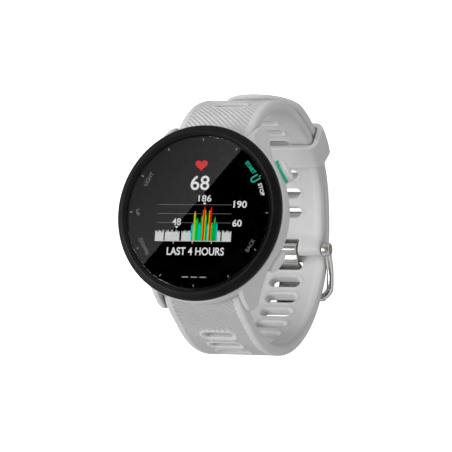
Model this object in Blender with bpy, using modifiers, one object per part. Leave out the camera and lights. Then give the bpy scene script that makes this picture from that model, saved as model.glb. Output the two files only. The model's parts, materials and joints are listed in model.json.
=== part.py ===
"""A GPS running watch with its silicone strap buckled into a wrist loop.

Units: every size below is in millimetres and every angle in degrees; MM turns them into metres
where a mesh is made.

Frame: the origin is the centre of the flat sensor window on the back of the case. +Z points out
of the dial, +Y to 12 o'clock and +X to 3 o'clock. The strap's loop hangs below the case.
"""
import math

import bmesh
import bpy
from mathutils import Matrix, Vector

MM = 0.001
RING_SEGMENTS = 56          # flats round the case, the bezel and the lens

# Case: heights from the sensor window's face, radii from the dial's axis
CASE_RADIUS = 21.2
CASE_WAIST = 6.0            # height where the case wall starts to slope in towards the wrist
CASE_BOTTOM_RADIUS = 19.6
CASE_BOTTOM = 1.5
CASE_TOP = 9.4
CAVITY_RADIUS = 16.4
CAVITY_FLAT = 14.6          # the lower cavity is cut off here on its 12 and 6 o'clock sides
CAVITY_STEP = 6.4           # height where the lower cavity opens into the full circle
COVER_SEAT = 2.7            # height of the step that the rear cover closes
COVER_RADIUS = 18.7
COVER_FLAT = 15.4
COVER_BOTTOM = 1.3
COVER_TOP = 2.4
FIT_GAP = 0.2

# Bezel and lens
BEZEL_RADIUS = 21.0
BEZEL_TOP = 11.6
LENS_RADIUS = 18.2
LENS_BOTTOM = 9.7
LENS_TOP = 11.1

# Sensor window and charging port on the back
WINDOW_FACE_RADIUS = 8.2
WINDOW_RIM_RADIUS = 10.6
WINDOW_PLUG_RADIUS = 8.3
PORT_Y = -12.6
PORT_LENGTH = 7.4
PORT_WIDTH = 2.8
CONTACT_PITCH = 1.6
CONTACT_RADIUS = 0.45
SCREW_CIRCLE = 17.4
SCREW_ANGLE = 47.0
SCREW_HEAD_RADIUS = 0.85
SCREW_SHAFT_RADIUS = 0.45

# Buttons: the angle round the dial and the radius of the face of each cap
BUTTONS = {
    "start_button": (30.0, 22.8),
    "back_button": (-30.5, 21.9),
    "light_button": (150.0, 21.7),
    "up_button": (180.0, 21.7),
    "down_button": (210.0, 21.7),
}
BUTTON_HEIGHT = 4.2
BUTTON_TRAVEL = 0.5
CAP_REACH = (2.8, 1.9)      # half length and half height of the oval caps
CAP_BACK = 20.0
RECESS_GAP = 0.2
RECESS_FLOOR = 19.3
COLLAR_WIDTH = 0.5          # green collar over the start button
COLLAR_BASE = 19.7
COLLAR_FACE = 21.7
COLLAR_REACH = 62.0         # degrees to each side of the cap's top
STEM_RADIUS = 0.5
STEM_END = 15.9
SEAL_RADIUS = 0.7
SEAL_WIRE = 0.14
CLIP_FACE = 16.1

# Lugs and spring bars
LUG_INNER_X = 10.4
LUG_LEAN = 0.225            # sideways slope of the lugs' outer faces
BAR_Y = 19.0
BAR_Z = 3.6
BAR_RADIUS = 0.9
BAR_TIP_RADIUS = 0.45
BAR_TIP_X = 11.7
BAR_BORE_RADIUS = 0.6
BAR_BORE_X = 2.0            # the quick-release end of the bar is hollow from here outwards
RELEASE_TRAVEL = 1.5
RELEASE_KNOB_X = 6.6

# Strap
STRAP_WIDTH = 20.0
STRAP_THICKNESS = 2.5
STRAP_SPLIT = 0.15          # half of the gap between the two strap layers
KNUCKLE_RADIUS = 1.75
KNUCKLE_TAPER = 9.0
SLOT_LENGTH = 8.0
SLOT_WIDTH = 2.4
TIP_THINNING = 0.6
TIP_THINNING_LENGTH = 14.0
OUTLINE_STEP = 3.0

# The loop line runs between the two strap layers, from the 12 o'clock lug round the wrist to the
# 6 o'clock lug. It is a chain of tangent arcs, each a radius and a turn.
LOOP_START = (20.0, 5.2)
LOOP_HEADING = 32.0
LOOP_ARCS = [(25.7, 67.6), (53.2, 12.0), (26.0, 53.4), (60.2, 5.0), (28.8, 86.7)]
KEEPER_ARC = 2              # the arc that the keeper slides along

# Places along the loop line, as distances from the 12 o'clock lug
BUCKLE_STRAP_SLOTS = [13.4 + 5.4 * step for step in range(11)]
TAIL_SLOTS = [133.9 - 4.8 * step for step in range(20)]
TONGUE_SLOT = TAIL_SLOTS[11]
TAIL_TIP = 35.7             # centre of the tail's round tip
PIN_PLACE = 77.5
KEEPER_PLACE = 49.3
KEEPER_LENGTH = 8.0
KEEPER_WALL = 1.6
KEEPER_GAP = 0.3
KEEPER_CORNER = 2.4

# Buckle
PIN_RADIUS = 0.7
PIN_BORE = 0.95
PIN_END_X = 12.2
STRAP_END_WIDTH = 19.4
NOTCH_WIDTH = 7.2
EAR_INNER_X = 10.0
EAR_RADIUS = 1.65
FRAME_WIRE = 0.85
FRAME_X = 11.2
FRONT_BAR_PLACE = 88.3
TONGUE_WIDTH = 6.2
TONGUE_THICKNESS = 1.0

MATERIALS = {
    "silicone": ((0.60, 0.60, 0.61), 0.6, 0.0),
    "case_polymer": ((0.63, 0.63, 0.64), 0.45, 0.0),
    "bezel_black": ((0.02, 0.02, 0.022), 0.4, 0.0),
    "glass": ((0.01, 0.01, 0.012), 0.05, 0.0),
    "window_black": ((0.015, 0.015, 0.017), 0.1, 0.0),
    "accent_green": ((0.02, 0.50, 0.32), 0.4, 0.0),
    "steel": ((0.72, 0.71, 0.69), 0.25, 1.0),
    "gold_plate": ((0.83, 0.62, 0.30), 0.25, 1.0),
    "board_green": ((0.03, 0.22, 0.10), 0.5, 0.0),
    "cell_foil": ((0.55, 0.56, 0.58), 0.35, 0.8),
    "black_plastic": ((0.03, 0.03, 0.03), 0.5, 0.0),
    "black_rubber": ((0.02, 0.02, 0.02), 0.8, 0.0),
}


# ---------------------------------------------------------------- scene and materials

def clear_scene():
    for obj in list(bpy.data.objects):
        bpy.data.objects.remove(obj, do_unlink=True)


def new_collection(name):
    collection = bpy.data.collections.new(name)
    bpy.context.scene.collection.children.link(collection)
    return collection


def paint(obj, name):
    """Give the object its material, made on first use."""
    material = bpy.data.materials.get(name)
    if material is None:
        colour, roughness, metallic = MATERIALS[name]
        material = bpy.data.materials.new(name)
        material.use_nodes = True
        shader = material.node_tree.nodes["Principled BSDF"]
        shader.inputs["Base Color"].default_value = (*colour, 1.0)
        shader.inputs["Roughness"].default_value = roughness
        shader.inputs["Metallic"].default_value = metallic
    obj.data.materials.append(material)
    return obj


# ---------------------------------------------------------------- placements

def axes(x_axis, y_axis, z_axis, origin):
    """Placement whose local axes point along the three given directions."""
    matrix = Matrix((x_axis, y_axis, z_axis)).transposed().to_4x4()
    matrix.translation = Vector(origin) * MM
    return matrix


def at_height(z):
    return Matrix.Translation((0, 0, z * MM))


def side_on(y=0.0, z=0.0, x=0.0):
    """Local X and Y lie along world Y and Z, and local Z along world X."""
    return axes((0, 1, 0), (0, 0, 1), (1, 0, 0), (x, y, z))


def radial(angle, radius, height):
    """Local Z points outwards at this angle round the dial, and local Y points up."""
    c, s = math.cos(math.radians(angle)), math.sin(math.radians(angle))
    return axes((-s, c, 0), (0, 0, 1), (c, s, 0), (radius * c, radius * s, height))


# ---------------------------------------------------------------- the loop line of the strap

def outward(heading):
    """Unit normal (y, z) that points away from the wrist."""
    return math.sin(math.radians(heading)), math.cos(math.radians(heading))


def arc_centre(point, heading, radius):
    ny, nz = outward(heading)
    return point[0] - radius * ny, point[1] - radius * nz


def arc_end(point, heading, radius, turn):
    cy, cz = arc_centre(point, heading, radius)
    ny, nz = outward(heading + turn)
    return (cy + radius * ny, cz + radius * nz), heading + turn


def closing_arc(point, heading):
    """The last arc of the loop: it touches the strap knuckle at the 6 o'clock lug."""
    knuckle = KNUCKLE_RADIUS + STRAP_SPLIT
    ny, nz = outward(heading)
    dy, dz = point[0] + BAR_Y, point[1] - BAR_Z
    radius = (dy * dy + dz * dz - knuckle ** 2) / (2 * knuckle + 2 * (ny * dy + nz * dz))
    cy, cz = arc_centre(point, heading, radius)
    end_heading = math.degrees(math.atan2(-BAR_Y - cy, BAR_Z - cz)) % 360
    return radius, end_heading - heading


def loop_arcs():
    """Every arc of the loop as (radius, turn, start point, start heading, start distance)."""
    arcs, point, heading, distance = [], LOOP_START, LOOP_HEADING, 0.0
    for index in range(len(LOOP_ARCS) + 1):
        last = index == len(LOOP_ARCS)
        radius, turn = closing_arc(point, heading) if last else LOOP_ARCS[index]
        arcs.append((radius, turn, point, heading, distance))
        point, heading = arc_end(point, heading, radius, turn)
        distance += radius * math.radians(turn)
    return arcs, distance


ARCS, LOOP_LENGTH = loop_arcs()


def loop_place(distance, offset=0.0):
    """Point (y, z) and heading of the loop line, moved outwards by the offset."""
    arc = [a for a in ARCS if a[4] <= max(distance, 0.0)][-1]
    radius, turn, start, start_heading, start_distance = arc
    turned_by = math.degrees((distance - start_distance) / radius)
    (y, z), heading = arc_end(start, start_heading, radius, turned_by)
    ny, nz = outward(heading)
    return (y + offset * ny, z + offset * nz), heading


def on_loop(distance, offset=0.0):
    """Placement on the strap: local X across it, local Y along it, local Z outwards."""
    (y, z), heading = loop_place(distance, offset)
    ny, nz = outward(heading)
    return axes((1, 0, 0), (0, nz, -ny), (0, ny, nz), (0, y, z))


# ---------------------------------------------------------------- outlines

def circle_points(radius, count, start=0.0, sweep=360.0, centre=(0.0, 0.0)):
    """Points on an arc; a full circle leaves out the repeated last point."""
    steps = count if sweep == 360.0 else count - 1
    angles = [math.radians(start + sweep * i / steps) for i in range(count)]
    return [(centre[0] + radius * math.cos(a), centre[1] + radius * math.sin(a)) for a in angles]


def stadium(length, width, count=6):
    """Slot outline with round ends, long along local X."""
    shift = (length - width) / 2
    right = circle_points(width / 2, count, -90, 180, (shift, 0))
    left = circle_points(width / 2, count, 90, 180, (-shift, 0))
    return right + left


def oval(grow, count=20, start=0.0, sweep=360.0):
    """Oval outline of a button's cap, or part of it, grown by a margin."""
    half_length, half_height = CAP_REACH[0] + grow, CAP_REACH[1] + grow
    return [(half_length * x, half_height * y) for x, y in circle_points(1.0, count, start, sweep)]


def rounded_rectangle(width, height, corner, count=5):
    points = []
    for index in range(4):
        x_sign, y_sign = (1, 1, -1, -1)[index], (-1, 1, 1, -1)[index]
        centre = (x_sign * (width / 2 - corner), y_sign * (height / 2 - corner))
        points += circle_points(corner, count, 90 * (index - 1), 90, centre)
    return points


def rectangle(x0, x1, y0, y1):
    return [(x0, y0), (x1, y0), (x1, y1), (x0, y1)]


def flatted_circle(radius, flat, count=24):
    """Circle cut off by straight lines at y = +flat and y = -flat."""
    reach = math.degrees(math.asin(flat / radius))
    right = circle_points(radius, count, -reach, 2 * reach)
    left = circle_points(radius, count, 180 - reach, 2 * reach)
    return right + left


def thick_line(points, thickness):
    """Outline of a bent strip that follows the points."""
    sides = []
    for side in (thickness / 2, -thickness / 2):
        row = []
        for i, (y, z) in enumerate(points):
            before, after = points[max(i - 1, 0)], points[min(i + 1, len(points) - 1)]
            dy, dz = after[0] - before[0], after[1] - before[1]
            length = math.hypot(dy, dz)
            row.append((y - side * dz / length, z + side * dy / length))
        sides.append(row)
    return sides[0] + sides[1][::-1]


# ---------------------------------------------------------------- solids

def add_object(name, mesh, placement):
    obj = bpy.data.objects.new(name, mesh)
    obj.matrix_world = placement
    parts.objects.link(obj)
    return obj


def smooth(obj, angle=35.0):
    obj.data.shade_smooth()
    obj.data.set_sharp_from_angle(angle=math.radians(angle))
    return obj


def prism(name, outlines, thickness, placement):
    """Flat outline, with holes where outlines nest, given a thickness about its own plane."""
    curve = bpy.data.curves.new(name, "CURVE")
    curve.dimensions = "2D"
    curve.fill_mode = "BOTH"
    curve.extrude = thickness / 2 * MM
    for outline in outlines:
        spline = curve.splines.new("POLY")
        spline.points.add(len(outline) - 1)
        for point, (x, y) in zip(spline.points, outline):
            point.co = (x * MM, y * MM, 0.0, 1.0)
        spline.use_cyclic_u = True
    return solid_from_curve(name, curve, placement)


def tube(name, points, radius, placement):
    """Round wire through 3-D points, with filled ends."""
    curve = bpy.data.curves.new(name, "CURVE")
    curve.dimensions = "3D"
    curve.bevel_depth = radius * MM
    curve.bevel_resolution = 1
    curve.use_fill_caps = True
    spline = curve.splines.new("POLY")
    spline.points.add(len(points) - 1)
    for point, place in zip(spline.points, points):
        point.co = (*(Vector(place) * MM), 1.0)
    return solid_from_curve(name, curve, placement)


def solid_from_curve(name, curve, placement):
    guide = bpy.data.objects.new(name, curve)
    parts.objects.link(guide)
    mesh = bpy.data.meshes.new_from_object(guide.evaluated_get(bpy.context.evaluated_depsgraph_get()))
    bpy.data.objects.remove(guide, do_unlink=True)
    work = bmesh.new()
    work.from_mesh(mesh)
    bmesh.ops.remove_doubles(work, verts=work.verts, dist=0.001 * MM)
    bmesh.ops.recalc_face_normals(work, faces=work.faces)
    work.to_mesh(mesh)
    work.free()
    return smooth(add_object(name, mesh, placement))


def cylinder(name, radius, low, high, placement=Matrix(), segments=24):
    """Cylinder along local Z from low to high."""
    work = bmesh.new()
    middle = Matrix.Translation((0, 0, (low + high) / 2 * MM))
    bmesh.ops.create_cone(work, cap_ends=True, segments=segments, radius1=radius * MM,
                          radius2=radius * MM, depth=(high - low) * MM, matrix=middle)
    mesh = bpy.data.meshes.new(name)
    work.to_mesh(mesh)
    work.free()
    return smooth(add_object(name, mesh, placement))


def box(name, x, y, z, placement=Matrix()):
    """Box between the two limits given for each axis."""
    work = bmesh.new()
    size = [(limits[1] - limits[0]) * MM for limits in (x, y, z)]
    middle = [(limits[1] + limits[0]) / 2 * MM for limits in (x, y, z)]
    scale = Matrix.Diagonal((*size, 1.0))
    bmesh.ops.create_cube(work, size=1.0, matrix=Matrix.Translation(middle) @ scale)
    mesh = bpy.data.meshes.new(name)
    work.to_mesh(mesh)
    work.free()
    return add_object(name, mesh, placement)


def turned(name, profile, placement=Matrix(), segments=64, ring=False):
    """Profile of (radius, height) points turned about local Z, down its outer side."""
    mesh = bpy.data.meshes.new(name)
    points = [(r * MM, 0.0, z * MM) for r, z in profile]
    edges = [(i, i + 1) for i in range(len(points) - 1)]
    if ring:
        edges.append((len(points) - 1, 0))
    mesh.from_pydata(points, edges, [])
    obj = add_object(name, mesh, placement)
    screw = obj.modifiers.new("turn", "SCREW")
    screw.steps = segments
    screw.render_steps = segments
    screw.use_merge_vertices = True
    screw.merge_threshold = 0.001 * MM
    screw.use_smooth_shade = True
    return obj


def boolean(obj, other, operation):
    """Cut the other object out of this one, or join it on, and keep it as a cutter."""
    modifier = obj.modifiers.new(other.name, "BOOLEAN")
    modifier.operation = operation
    modifier.object = other
    if other.name not in cutters.objects:
        parts.objects.unlink(other)
        cutters.objects.link(other)
        other.hide_render = True
        other.display_type = "WIRE"
    return obj


def cut(obj, *others):
    for other in others:
        boolean(obj, other, "DIFFERENCE")
    return obj


def join(obj, *others):
    for other in others:
        boolean(obj, other, "UNION")
    return obj


def round_edges(obj, width, segments=2, angle=40.0):
    bevel = obj.modifiers.new("round_edges", "BEVEL")
    bevel.width = width * MM
    bevel.segments = segments
    bevel.limit_method = "ANGLE"
    bevel.angle_limit = math.radians(angle)
    return obj


def repeated(name, template, placements):
    """One mesh with a copy of the template at each placement; the template is removed."""
    work = bmesh.new()
    for placement in placements:
        copy = template.data.copy()
        copy.transform(placement)
        work.from_mesh(copy)
        bpy.data.meshes.remove(copy)
    bpy.data.objects.remove(template, do_unlink=True)
    mesh = bpy.data.meshes.new(name)
    work.to_mesh(mesh)
    work.free()
    return add_object(name, mesh, Matrix())


# ---------------------------------------------------------------- case

def lug(name, x_sign, y_sign):
    """One lug: its plan outline, leaning in towards the dial, crossed with its side outline."""
    plan = [(8.0, 12.2), (14.1, 13.4), (13.2, 16.5), (12.3, 19.0), (11.6, 21.0), (11.0, 21.8),
            (10.2, 22.1), (8.0, 22.1)]
    side = [(12.3, 1.7), (17.0, 1.7), (20.4, 0.7), (21.7, 1.0), (22.1, 2.3), (20.9, 5.0),
            (18.7, 8.3), (12.3, 9.0)]
    body = prism(name, [[(x * x_sign, y * y_sign) for x, y in plan]], 12.0, at_height(5.0))
    lean = Matrix.Identity(4)
    lean[0][2] = -LUG_LEAN * x_sign
    body.data.transform(lean)
    half = 10.0
    profile = prism(name + "_side", [[(y * y_sign, z) for y, z in side]], 2 * half,
                    side_on(x=(LUG_INNER_X + half) * x_sign))
    return boolean(body, profile, "INTERSECT")


def knuckle_pocket(name, y_sign):
    """Room between two lugs for the strap's end to turn in."""
    ny, nz = outward(LOOP_HEADING)
    room = KNUCKLE_RADIUS + 0.4
    top = math.degrees(math.atan2(nz, ny))
    arc = circle_points(room, 10, 180, top - 180, (BAR_Y, BAR_Z))
    reach = 6.0
    edge = (arc[-1][0] + reach * nz, arc[-1][1] - reach * ny)
    outline = arc + [edge, (edge[0], -3.0), (BAR_Y - room, -3.0)]
    return prism(name, [[(y * y_sign, z) for y, z in outline]], 2 * LUG_INNER_X, side_on())


def button_room(name, angle):
    """Recess, seal bore and stem bore of one button, cut from the case wall."""
    place = radial(angle, 0.0, BUTTON_HEIGHT)
    recess = prism(name, [oval(RECESS_GAP)], 4.0, radial(angle, RECESS_FLOOR + 2.0, BUTTON_HEIGHT))
    seal_bore = cylinder(name + "_seal_bore", SEAL_RADIUS + SEAL_WIRE + 0.1, 17.2, 19.6, place, 16)
    stem_bore = cylinder(name + "_stem_bore", STEM_RADIUS + 0.15, 16.0, 17.4, place, 16)
    return recess, seal_bore, stem_bore


def collar_outline(low, high, reach):
    """Upper part of an oval ring round the start button, between two distances from its cap."""
    start = 90 - reach
    return oval(high, 17, start, 2 * reach) + oval(low, 17, start, 2 * reach)[::-1]


def build_case():
    profile = [(15.0, CASE_TOP), (20.8, CASE_TOP), (CASE_RADIUS, CASE_TOP - 0.6),
               (CASE_RADIUS, CASE_WAIST), (CASE_BOTTOM_RADIUS, CASE_BOTTOM), (15.0, CASE_BOTTOM)]
    case = turned("case", profile, segments=RING_SEGMENTS, ring=True)
    for x_sign in (1, -1):
        for y_sign in (1, -1):
            join(case, lug(f"lug_{x_sign}_{y_sign}", x_sign, y_sign))
    lower = prism("lower_cavity", [flatted_circle(CAVITY_RADIUS, CAVITY_FLAT)],
                  CAVITY_STEP + 1.0, at_height(CAVITY_STEP / 2 - 0.5))
    cut(case, lower)
    cut(case, cylinder("upper_cavity", CAVITY_RADIUS, CAVITY_STEP, CASE_TOP + 1.0,
                       segments=RING_SEGMENTS))
    cover = [flatted_circle(COVER_RADIUS + FIT_GAP, COVER_FLAT + FIT_GAP)]
    cut(case, prism("cover_room", cover, 2.4, at_height(COVER_SEAT - 1.2)))
    for y_sign in (1, -1):
        cut(case, knuckle_pocket(f"knuckle_pocket_{y_sign}", y_sign))
        bores = cylinder(f"bar_bore_{y_sign}", BAR_TIP_RADIUS + 0.2, -12.0, 12.0,
                         side_on(BAR_Y * y_sign, BAR_Z), 16)
        cut(case, bores)
    for name, (angle, _) in BUTTONS.items():
        cut(case, *button_room(name + "_room", angle))
    groove = collar_outline(0.0, RECESS_GAP + COLLAR_WIDTH + 0.1, COLLAR_REACH + 3.0)
    reach = COLLAR_BASE - 0.1 + 1.5
    cut(case, prism("collar_groove", [groove], 3.0,
                    radial(BUTTONS["start_button"][0], reach, BUTTON_HEIGHT)))
    for index, place in enumerate(screw_places()):
        cut(case, cylinder(f"screw_bore_{index}", SCREW_SHAFT_RADIUS + 0.15, 2.0, 6.0, place, 12))
    paint(case, "case_polymer")


def build_collar():
    """Coloured insert that lines the upper half of the start button's recess."""
    outline = collar_outline(RECESS_GAP, RECESS_GAP + COLLAR_WIDTH, COLLAR_REACH)
    collar = prism("start_collar", [outline], COLLAR_FACE - COLLAR_BASE,
                   radial(BUTTONS["start_button"][0], (COLLAR_FACE + COLLAR_BASE) / 2, BUTTON_HEIGHT))
    paint(collar, "accent_green")


def build_bezel():
    profile = [(18.9, BEZEL_TOP), (19.3, BEZEL_TOP), (20.7, 10.9), (BEZEL_RADIUS, 10.5),
               (BEZEL_RADIUS, CASE_TOP + FIT_GAP), (18.5, CASE_TOP + FIT_GAP), (18.5, LENS_TOP)]
    paint(turned("bezel", profile, segments=RING_SEGMENTS, ring=True), "bezel_black")


def build_lens():
    profile = [(0.0, LENS_TOP), (LENS_RADIUS - 0.3, LENS_TOP), (LENS_RADIUS, LENS_TOP - 0.3),
               (LENS_RADIUS, LENS_BOTTOM), (0.0, LENS_BOTTOM)]
    paint(turned("lens", profile, segments=RING_SEGMENTS), "glass")


# ---------------------------------------------------------------- back of the case

def screw_places():
    angles = [SCREW_ANGLE, 180 - SCREW_ANGLE, 180 + SCREW_ANGLE, -SCREW_ANGLE]
    return [Matrix.Rotation(math.radians(a), 4, "Z") @ Matrix.Translation((SCREW_CIRCLE * MM, 0, 0))
            for a in angles]


def build_rear_cover():
    height = COVER_TOP - COVER_BOTTOM
    middle = at_height((COVER_TOP + COVER_BOTTOM) / 2)
    window = circle_points(WINDOW_PLUG_RADIUS + FIT_GAP, 36)
    port = [(x, y + PORT_Y) for x, y in rectangle(-PORT_LENGTH / 2, PORT_LENGTH / 2,
                                                  -PORT_WIDTH / 2, PORT_WIDTH / 2)]
    cover = prism("rear_cover", [flatted_circle(COVER_RADIUS, COVER_FLAT), window, port],
                  height, middle)
    for index, place in enumerate(screw_places()):
        head = cylinder(f"head_room_{index}", SCREW_HEAD_RADIUS + 0.15, 0.5, 1.9, place, 12)
        shaft = cylinder(f"shaft_room_{index}", SCREW_SHAFT_RADIUS + 0.15, 1.0, 3.0, place, 12)
        cut(cover, head, shaft)
        screw = cylinder(f"rear_screw_{index + 1}", SCREW_HEAD_RADIUS, 1.35, 1.8, place, 12)
        join(screw, cylinder(f"screw_shaft_{index}", SCREW_SHAFT_RADIUS, 1.6, 5.6, place, 8))
        slot = prism(f"screw_socket_{index}", [circle_points(0.4, 6)], 0.5, place @ at_height(1.4))
        cut(screw, slot)
        paint(screw, "steel")
    paint(cover, "case_polymer")
    seal_height = (COVER_TOP + COVER_SEAT) / 2
    gasket = prism("cover_gasket", [flatted_circle(16.9, 15.1, 14), flatted_circle(16.6, 14.8, 14)],
                   0.2, at_height(seal_height))
    paint(gasket, "black_rubber")


def build_sensor():
    profile = [(0.0, 2.0), (WINDOW_PLUG_RADIUS, 2.0), (WINDOW_PLUG_RADIUS, 1.1),
               (WINDOW_RIM_RADIUS - 0.2, 1.1), (WINDOW_RIM_RADIUS, 0.9), (9.7, 0.25),
               (WINDOW_FACE_RADIUS, 0.0), (0.0, 0.0)]
    paint(turned("sensor_window", profile, segments=40), "window_black")
    board = cylinder("sensor_board", 7.6, 2.25, 2.85, segments=24)
    paint(board, "board_green")


def build_charging_port():
    holes = [((i - 1.5) * CONTACT_PITCH, 0.0) for i in range(4)]
    outline = rectangle(-PORT_LENGTH / 2 + 0.2, PORT_LENGTH / 2 - 0.2,
                        -PORT_WIDTH / 2 + 0.2, PORT_WIDTH / 2 - 0.2)
    bores = [circle_points(CONTACT_RADIUS + 0.15, 10, centre=hole) for hole in holes]
    place = axes((1, 0, 0), (0, 1, 0), (0, 0, 1), (0, PORT_Y, 2.3))
    paint(prism("charge_port", [outline] + bores, 1.2, place), "black_plastic")
    for index, (x, y) in enumerate(holes):
        contact_place = axes((1, 0, 0), (0, 1, 0), (0, 0, 1), (x, PORT_Y, 0))
        contact = cylinder(f"charge_contact_{index + 1}", CONTACT_RADIUS, 1.55, 3.4,
                           contact_place, 10)
        paint(contact, "gold_plate")


# ---------------------------------------------------------------- inside the case

def build_display():
    paint(cylinder("display_module", 15.2, 8.3, CASE_TOP, segments=40), "black_plastic")
    frame = prism("display_frame", [circle_points(16.1, 40), circle_points(9.0, 24)], 0.6,
                  at_height(7.7))
    paint(frame, "black_plastic")
    arc = circle_points(16.1, 12, 35, 110) + circle_points(15.5, 12, 145, -110)
    paint(prism("gnss_antenna", [arc], 0.8, at_height(8.7)), "gold_plate")


def build_board():
    outline = flatted_circle(15.6, 13.9, 14)
    paint(prism("main_board", [outline], 0.6, at_height(6.8)), "board_green")
    can = box("shield_can", (6.8, 10.4), (0.3, 9.0), (4.6, 6.2))
    paint(round_edges(can, 0.3, 1), "steel")


def build_battery():
    cell = box("battery", (-9.8, 6.2), (-9.0, 9.0), (3.2, 6.2))
    paint(round_edges(cell, 0.7, 2), "cell_foil")


def build_vibration_motor():
    place = axes((1, 0, 0), (0, 0, 1), (0, -1, 0), (8.2, -2.0, 4.7))
    motor = cylinder("vibration_motor", 1.5, 0.0, 6.8, place, 20)
    join(motor, cylinder("motor_shaft_boss", 0.7, 6.6, 7.1, place, 12))
    paint(motor, "steel")
    half = circle_points(1.3, 13, 180, 180)
    paint(prism("motor_weight", [half], 2.6, place @ at_height(8.8)), "steel")


def build_buzzer():
    place = axes((1, 0, 0), (0, 1, 0), (0, 0, 1), (12.6, 0, 0))
    paint(cylinder("buzzer_disc", 3.4, 2.65, 2.95, place, 24), "gold_plate")


# ---------------------------------------------------------------- buttons

def build_button(name, angle, face):
    """Cap and stem, seal, retaining clip and switch of one button."""
    place = radial(angle, CAP_BACK, BUTTON_HEIGHT)
    height = face - CAP_BACK
    cap = prism(name, [oval(0.0)], height, place @ at_height(height / 2))
    round_edges(cap, 0.3, 1)
    centre = radial(angle, 0.0, BUTTON_HEIGHT)
    join(cap, cylinder(name + "_stem", STEM_RADIUS, STEM_END, CAP_BACK + 0.3, centre, 12))
    paint(cap, "case_polymer")
    seal_points = circle_points(SEAL_WIRE, 5, centre=(SEAL_RADIUS, 18.2))[::-1]
    seal = turned(name.replace("button", "seal"), seal_points, centre, 12, ring=True)
    paint(seal, "black_rubber")
    clip_outline = circle_points(1.1, 9, 40, 280) + circle_points(0.6, 9, 320, -280)
    clip = prism(name.replace("button", "clip"), [clip_outline], 0.3,
                 radial(angle, CLIP_FACE - 0.15, BUTTON_HEIGHT))
    paint(clip, "steel")
    switch = box(name.replace("button", "switch"), (-1.6, 1.6), (-0.9, 2.3), (13.2, 15.0), centre)
    join(switch, cylinder(name + "_plunger", 0.6, 14.8, 15.3, centre, 10))
    paint(switch, "black_plastic")


# ---------------------------------------------------------------- strap

def spaced(start, end, step):
    count = max(2, round(abs(end - start) / step) + 1)
    return [start + (end - start) * i / (count - 1) for i in range(count)]


def eased(distance, end, length):
    """1 at the end of a strap, falling smoothly to 0 over the given length."""
    t = max(0.0, 1.0 - abs(distance - end) / length)
    return t * t * (3 - 2 * t)


def end_turn(centre, heading, forward):
    """Half circle round the end of a strap, from its outer face to its inner face or back."""
    start = 90.0 - heading
    sweep = -180.0 if forward else 180.0
    points = circle_points(KNUCKLE_RADIUS, 11, start, sweep, centre)
    return points[1:-1]


def buckle_strap_outline():
    """Side outline of the 12 o'clock strap: the loop line is just outside its outer face."""
    places = spaced(0.0, PIN_PLACE, OUTLINE_STEP)
    extra = 2 * KNUCKLE_RADIUS - STRAP_THICKNESS
    outer = [loop_place(s, -STRAP_SPLIT)[0] for s in places]
    inner = []
    for s in reversed(places):
        bulge = eased(s, 0.0, KNUCKLE_TAPER) + eased(s, PIN_PLACE, KNUCKLE_TAPER / 2)
        inner.append(loop_place(s, -STRAP_SPLIT - STRAP_THICKNESS - extra * bulge)[0])
    pin, pin_heading = loop_place(PIN_PLACE, -STRAP_SPLIT - KNUCKLE_RADIUS)
    bar, bar_heading = loop_place(0.0, -STRAP_SPLIT - KNUCKLE_RADIUS)
    pin_end = end_turn(pin, pin_heading, True)
    bar_end = end_turn(bar, bar_heading, False)[::-1]
    return outer + pin_end + inner + bar_end, pin, bar


def tail_strap_outline():
    """Side outline of the 6 o'clock strap: the loop line is just inside its inner face."""
    tip = TAIL_TIP - STRAP_WIDTH / 2
    places = spaced(tip, LOOP_LENGTH, OUTLINE_STEP)
    extra = 2 * KNUCKLE_RADIUS - STRAP_THICKNESS
    outer = []
    for s in places:
        bulge = extra * eased(s, LOOP_LENGTH, KNUCKLE_TAPER)
        bulge -= TIP_THINNING * eased(s, tip, TIP_THINNING_LENGTH)
        outer.append(loop_place(s, STRAP_SPLIT + STRAP_THICKNESS + bulge)[0])
    inner = [loop_place(s, STRAP_SPLIT)[0] for s in reversed(places)]
    bar, heading = loop_place(LOOP_LENGTH, STRAP_SPLIT + KNUCKLE_RADIUS)
    return outer + end_turn(bar, heading, True) + inner, bar


def slot_cutters(name, places):
    template = prism(name + "_template", [stadium(SLOT_LENGTH, SLOT_WIDTH)], 9.0, Matrix())
    return repeated(name, template, [on_loop(s) for s in places])


def release_room(name, bar, heading):
    """Notch on the wrist side of a strap's end for the quick-release knob."""
    ny, nz = outward(heading)
    place = axes((1, 0, 0), (0, nz, -ny), (0, ny, nz), (0, bar[0], bar[1]))
    x = (RELEASE_KNOB_X - RELEASE_TRAVEL - 1.3, RELEASE_KNOB_X + 1.3)
    return box(name, x, (-1.1, 1.1), (-4.0, 0.0), place)


def build_buckle_strap():
    outline, pin, bar = buckle_strap_outline()
    strap = prism("buckle_strap", [outline], STRAP_WIDTH, side_on())
    cut(strap, slot_cutters("buckle_strap_slots", BUCKLE_STRAP_SLOTS))
    cut(strap, cylinder("upper_bar_room", BAR_RADIUS + 0.2, -12, 12, side_on(*bar), 20))
    cut(strap, release_room("upper_release_room", bar, LOOP_HEADING))
    cut(strap, cylinder("pin_room", PIN_BORE, -12, 12, side_on(*pin), 20))
    place = on_loop(PIN_PLACE)
    cut(strap, box("tongue_notch", (-NOTCH_WIDTH / 2, NOTCH_WIDTH / 2), (-2.6, 4), (-6, 3), place))
    half, end = STRAP_WIDTH / 2, STRAP_END_WIDTH / 2
    side = [(end, 4.0), (end, -2.4), (half + 0.5, -6.5), (half + 0.5, 4.0)]
    for sign in (1, -1):
        corner = [(x * sign, y) for x, y in side]
        cut(strap, prism(f"strap_end_{sign}", [corner], 12.0, place))
    paint(strap, "silicone")
    return pin, bar


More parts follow.
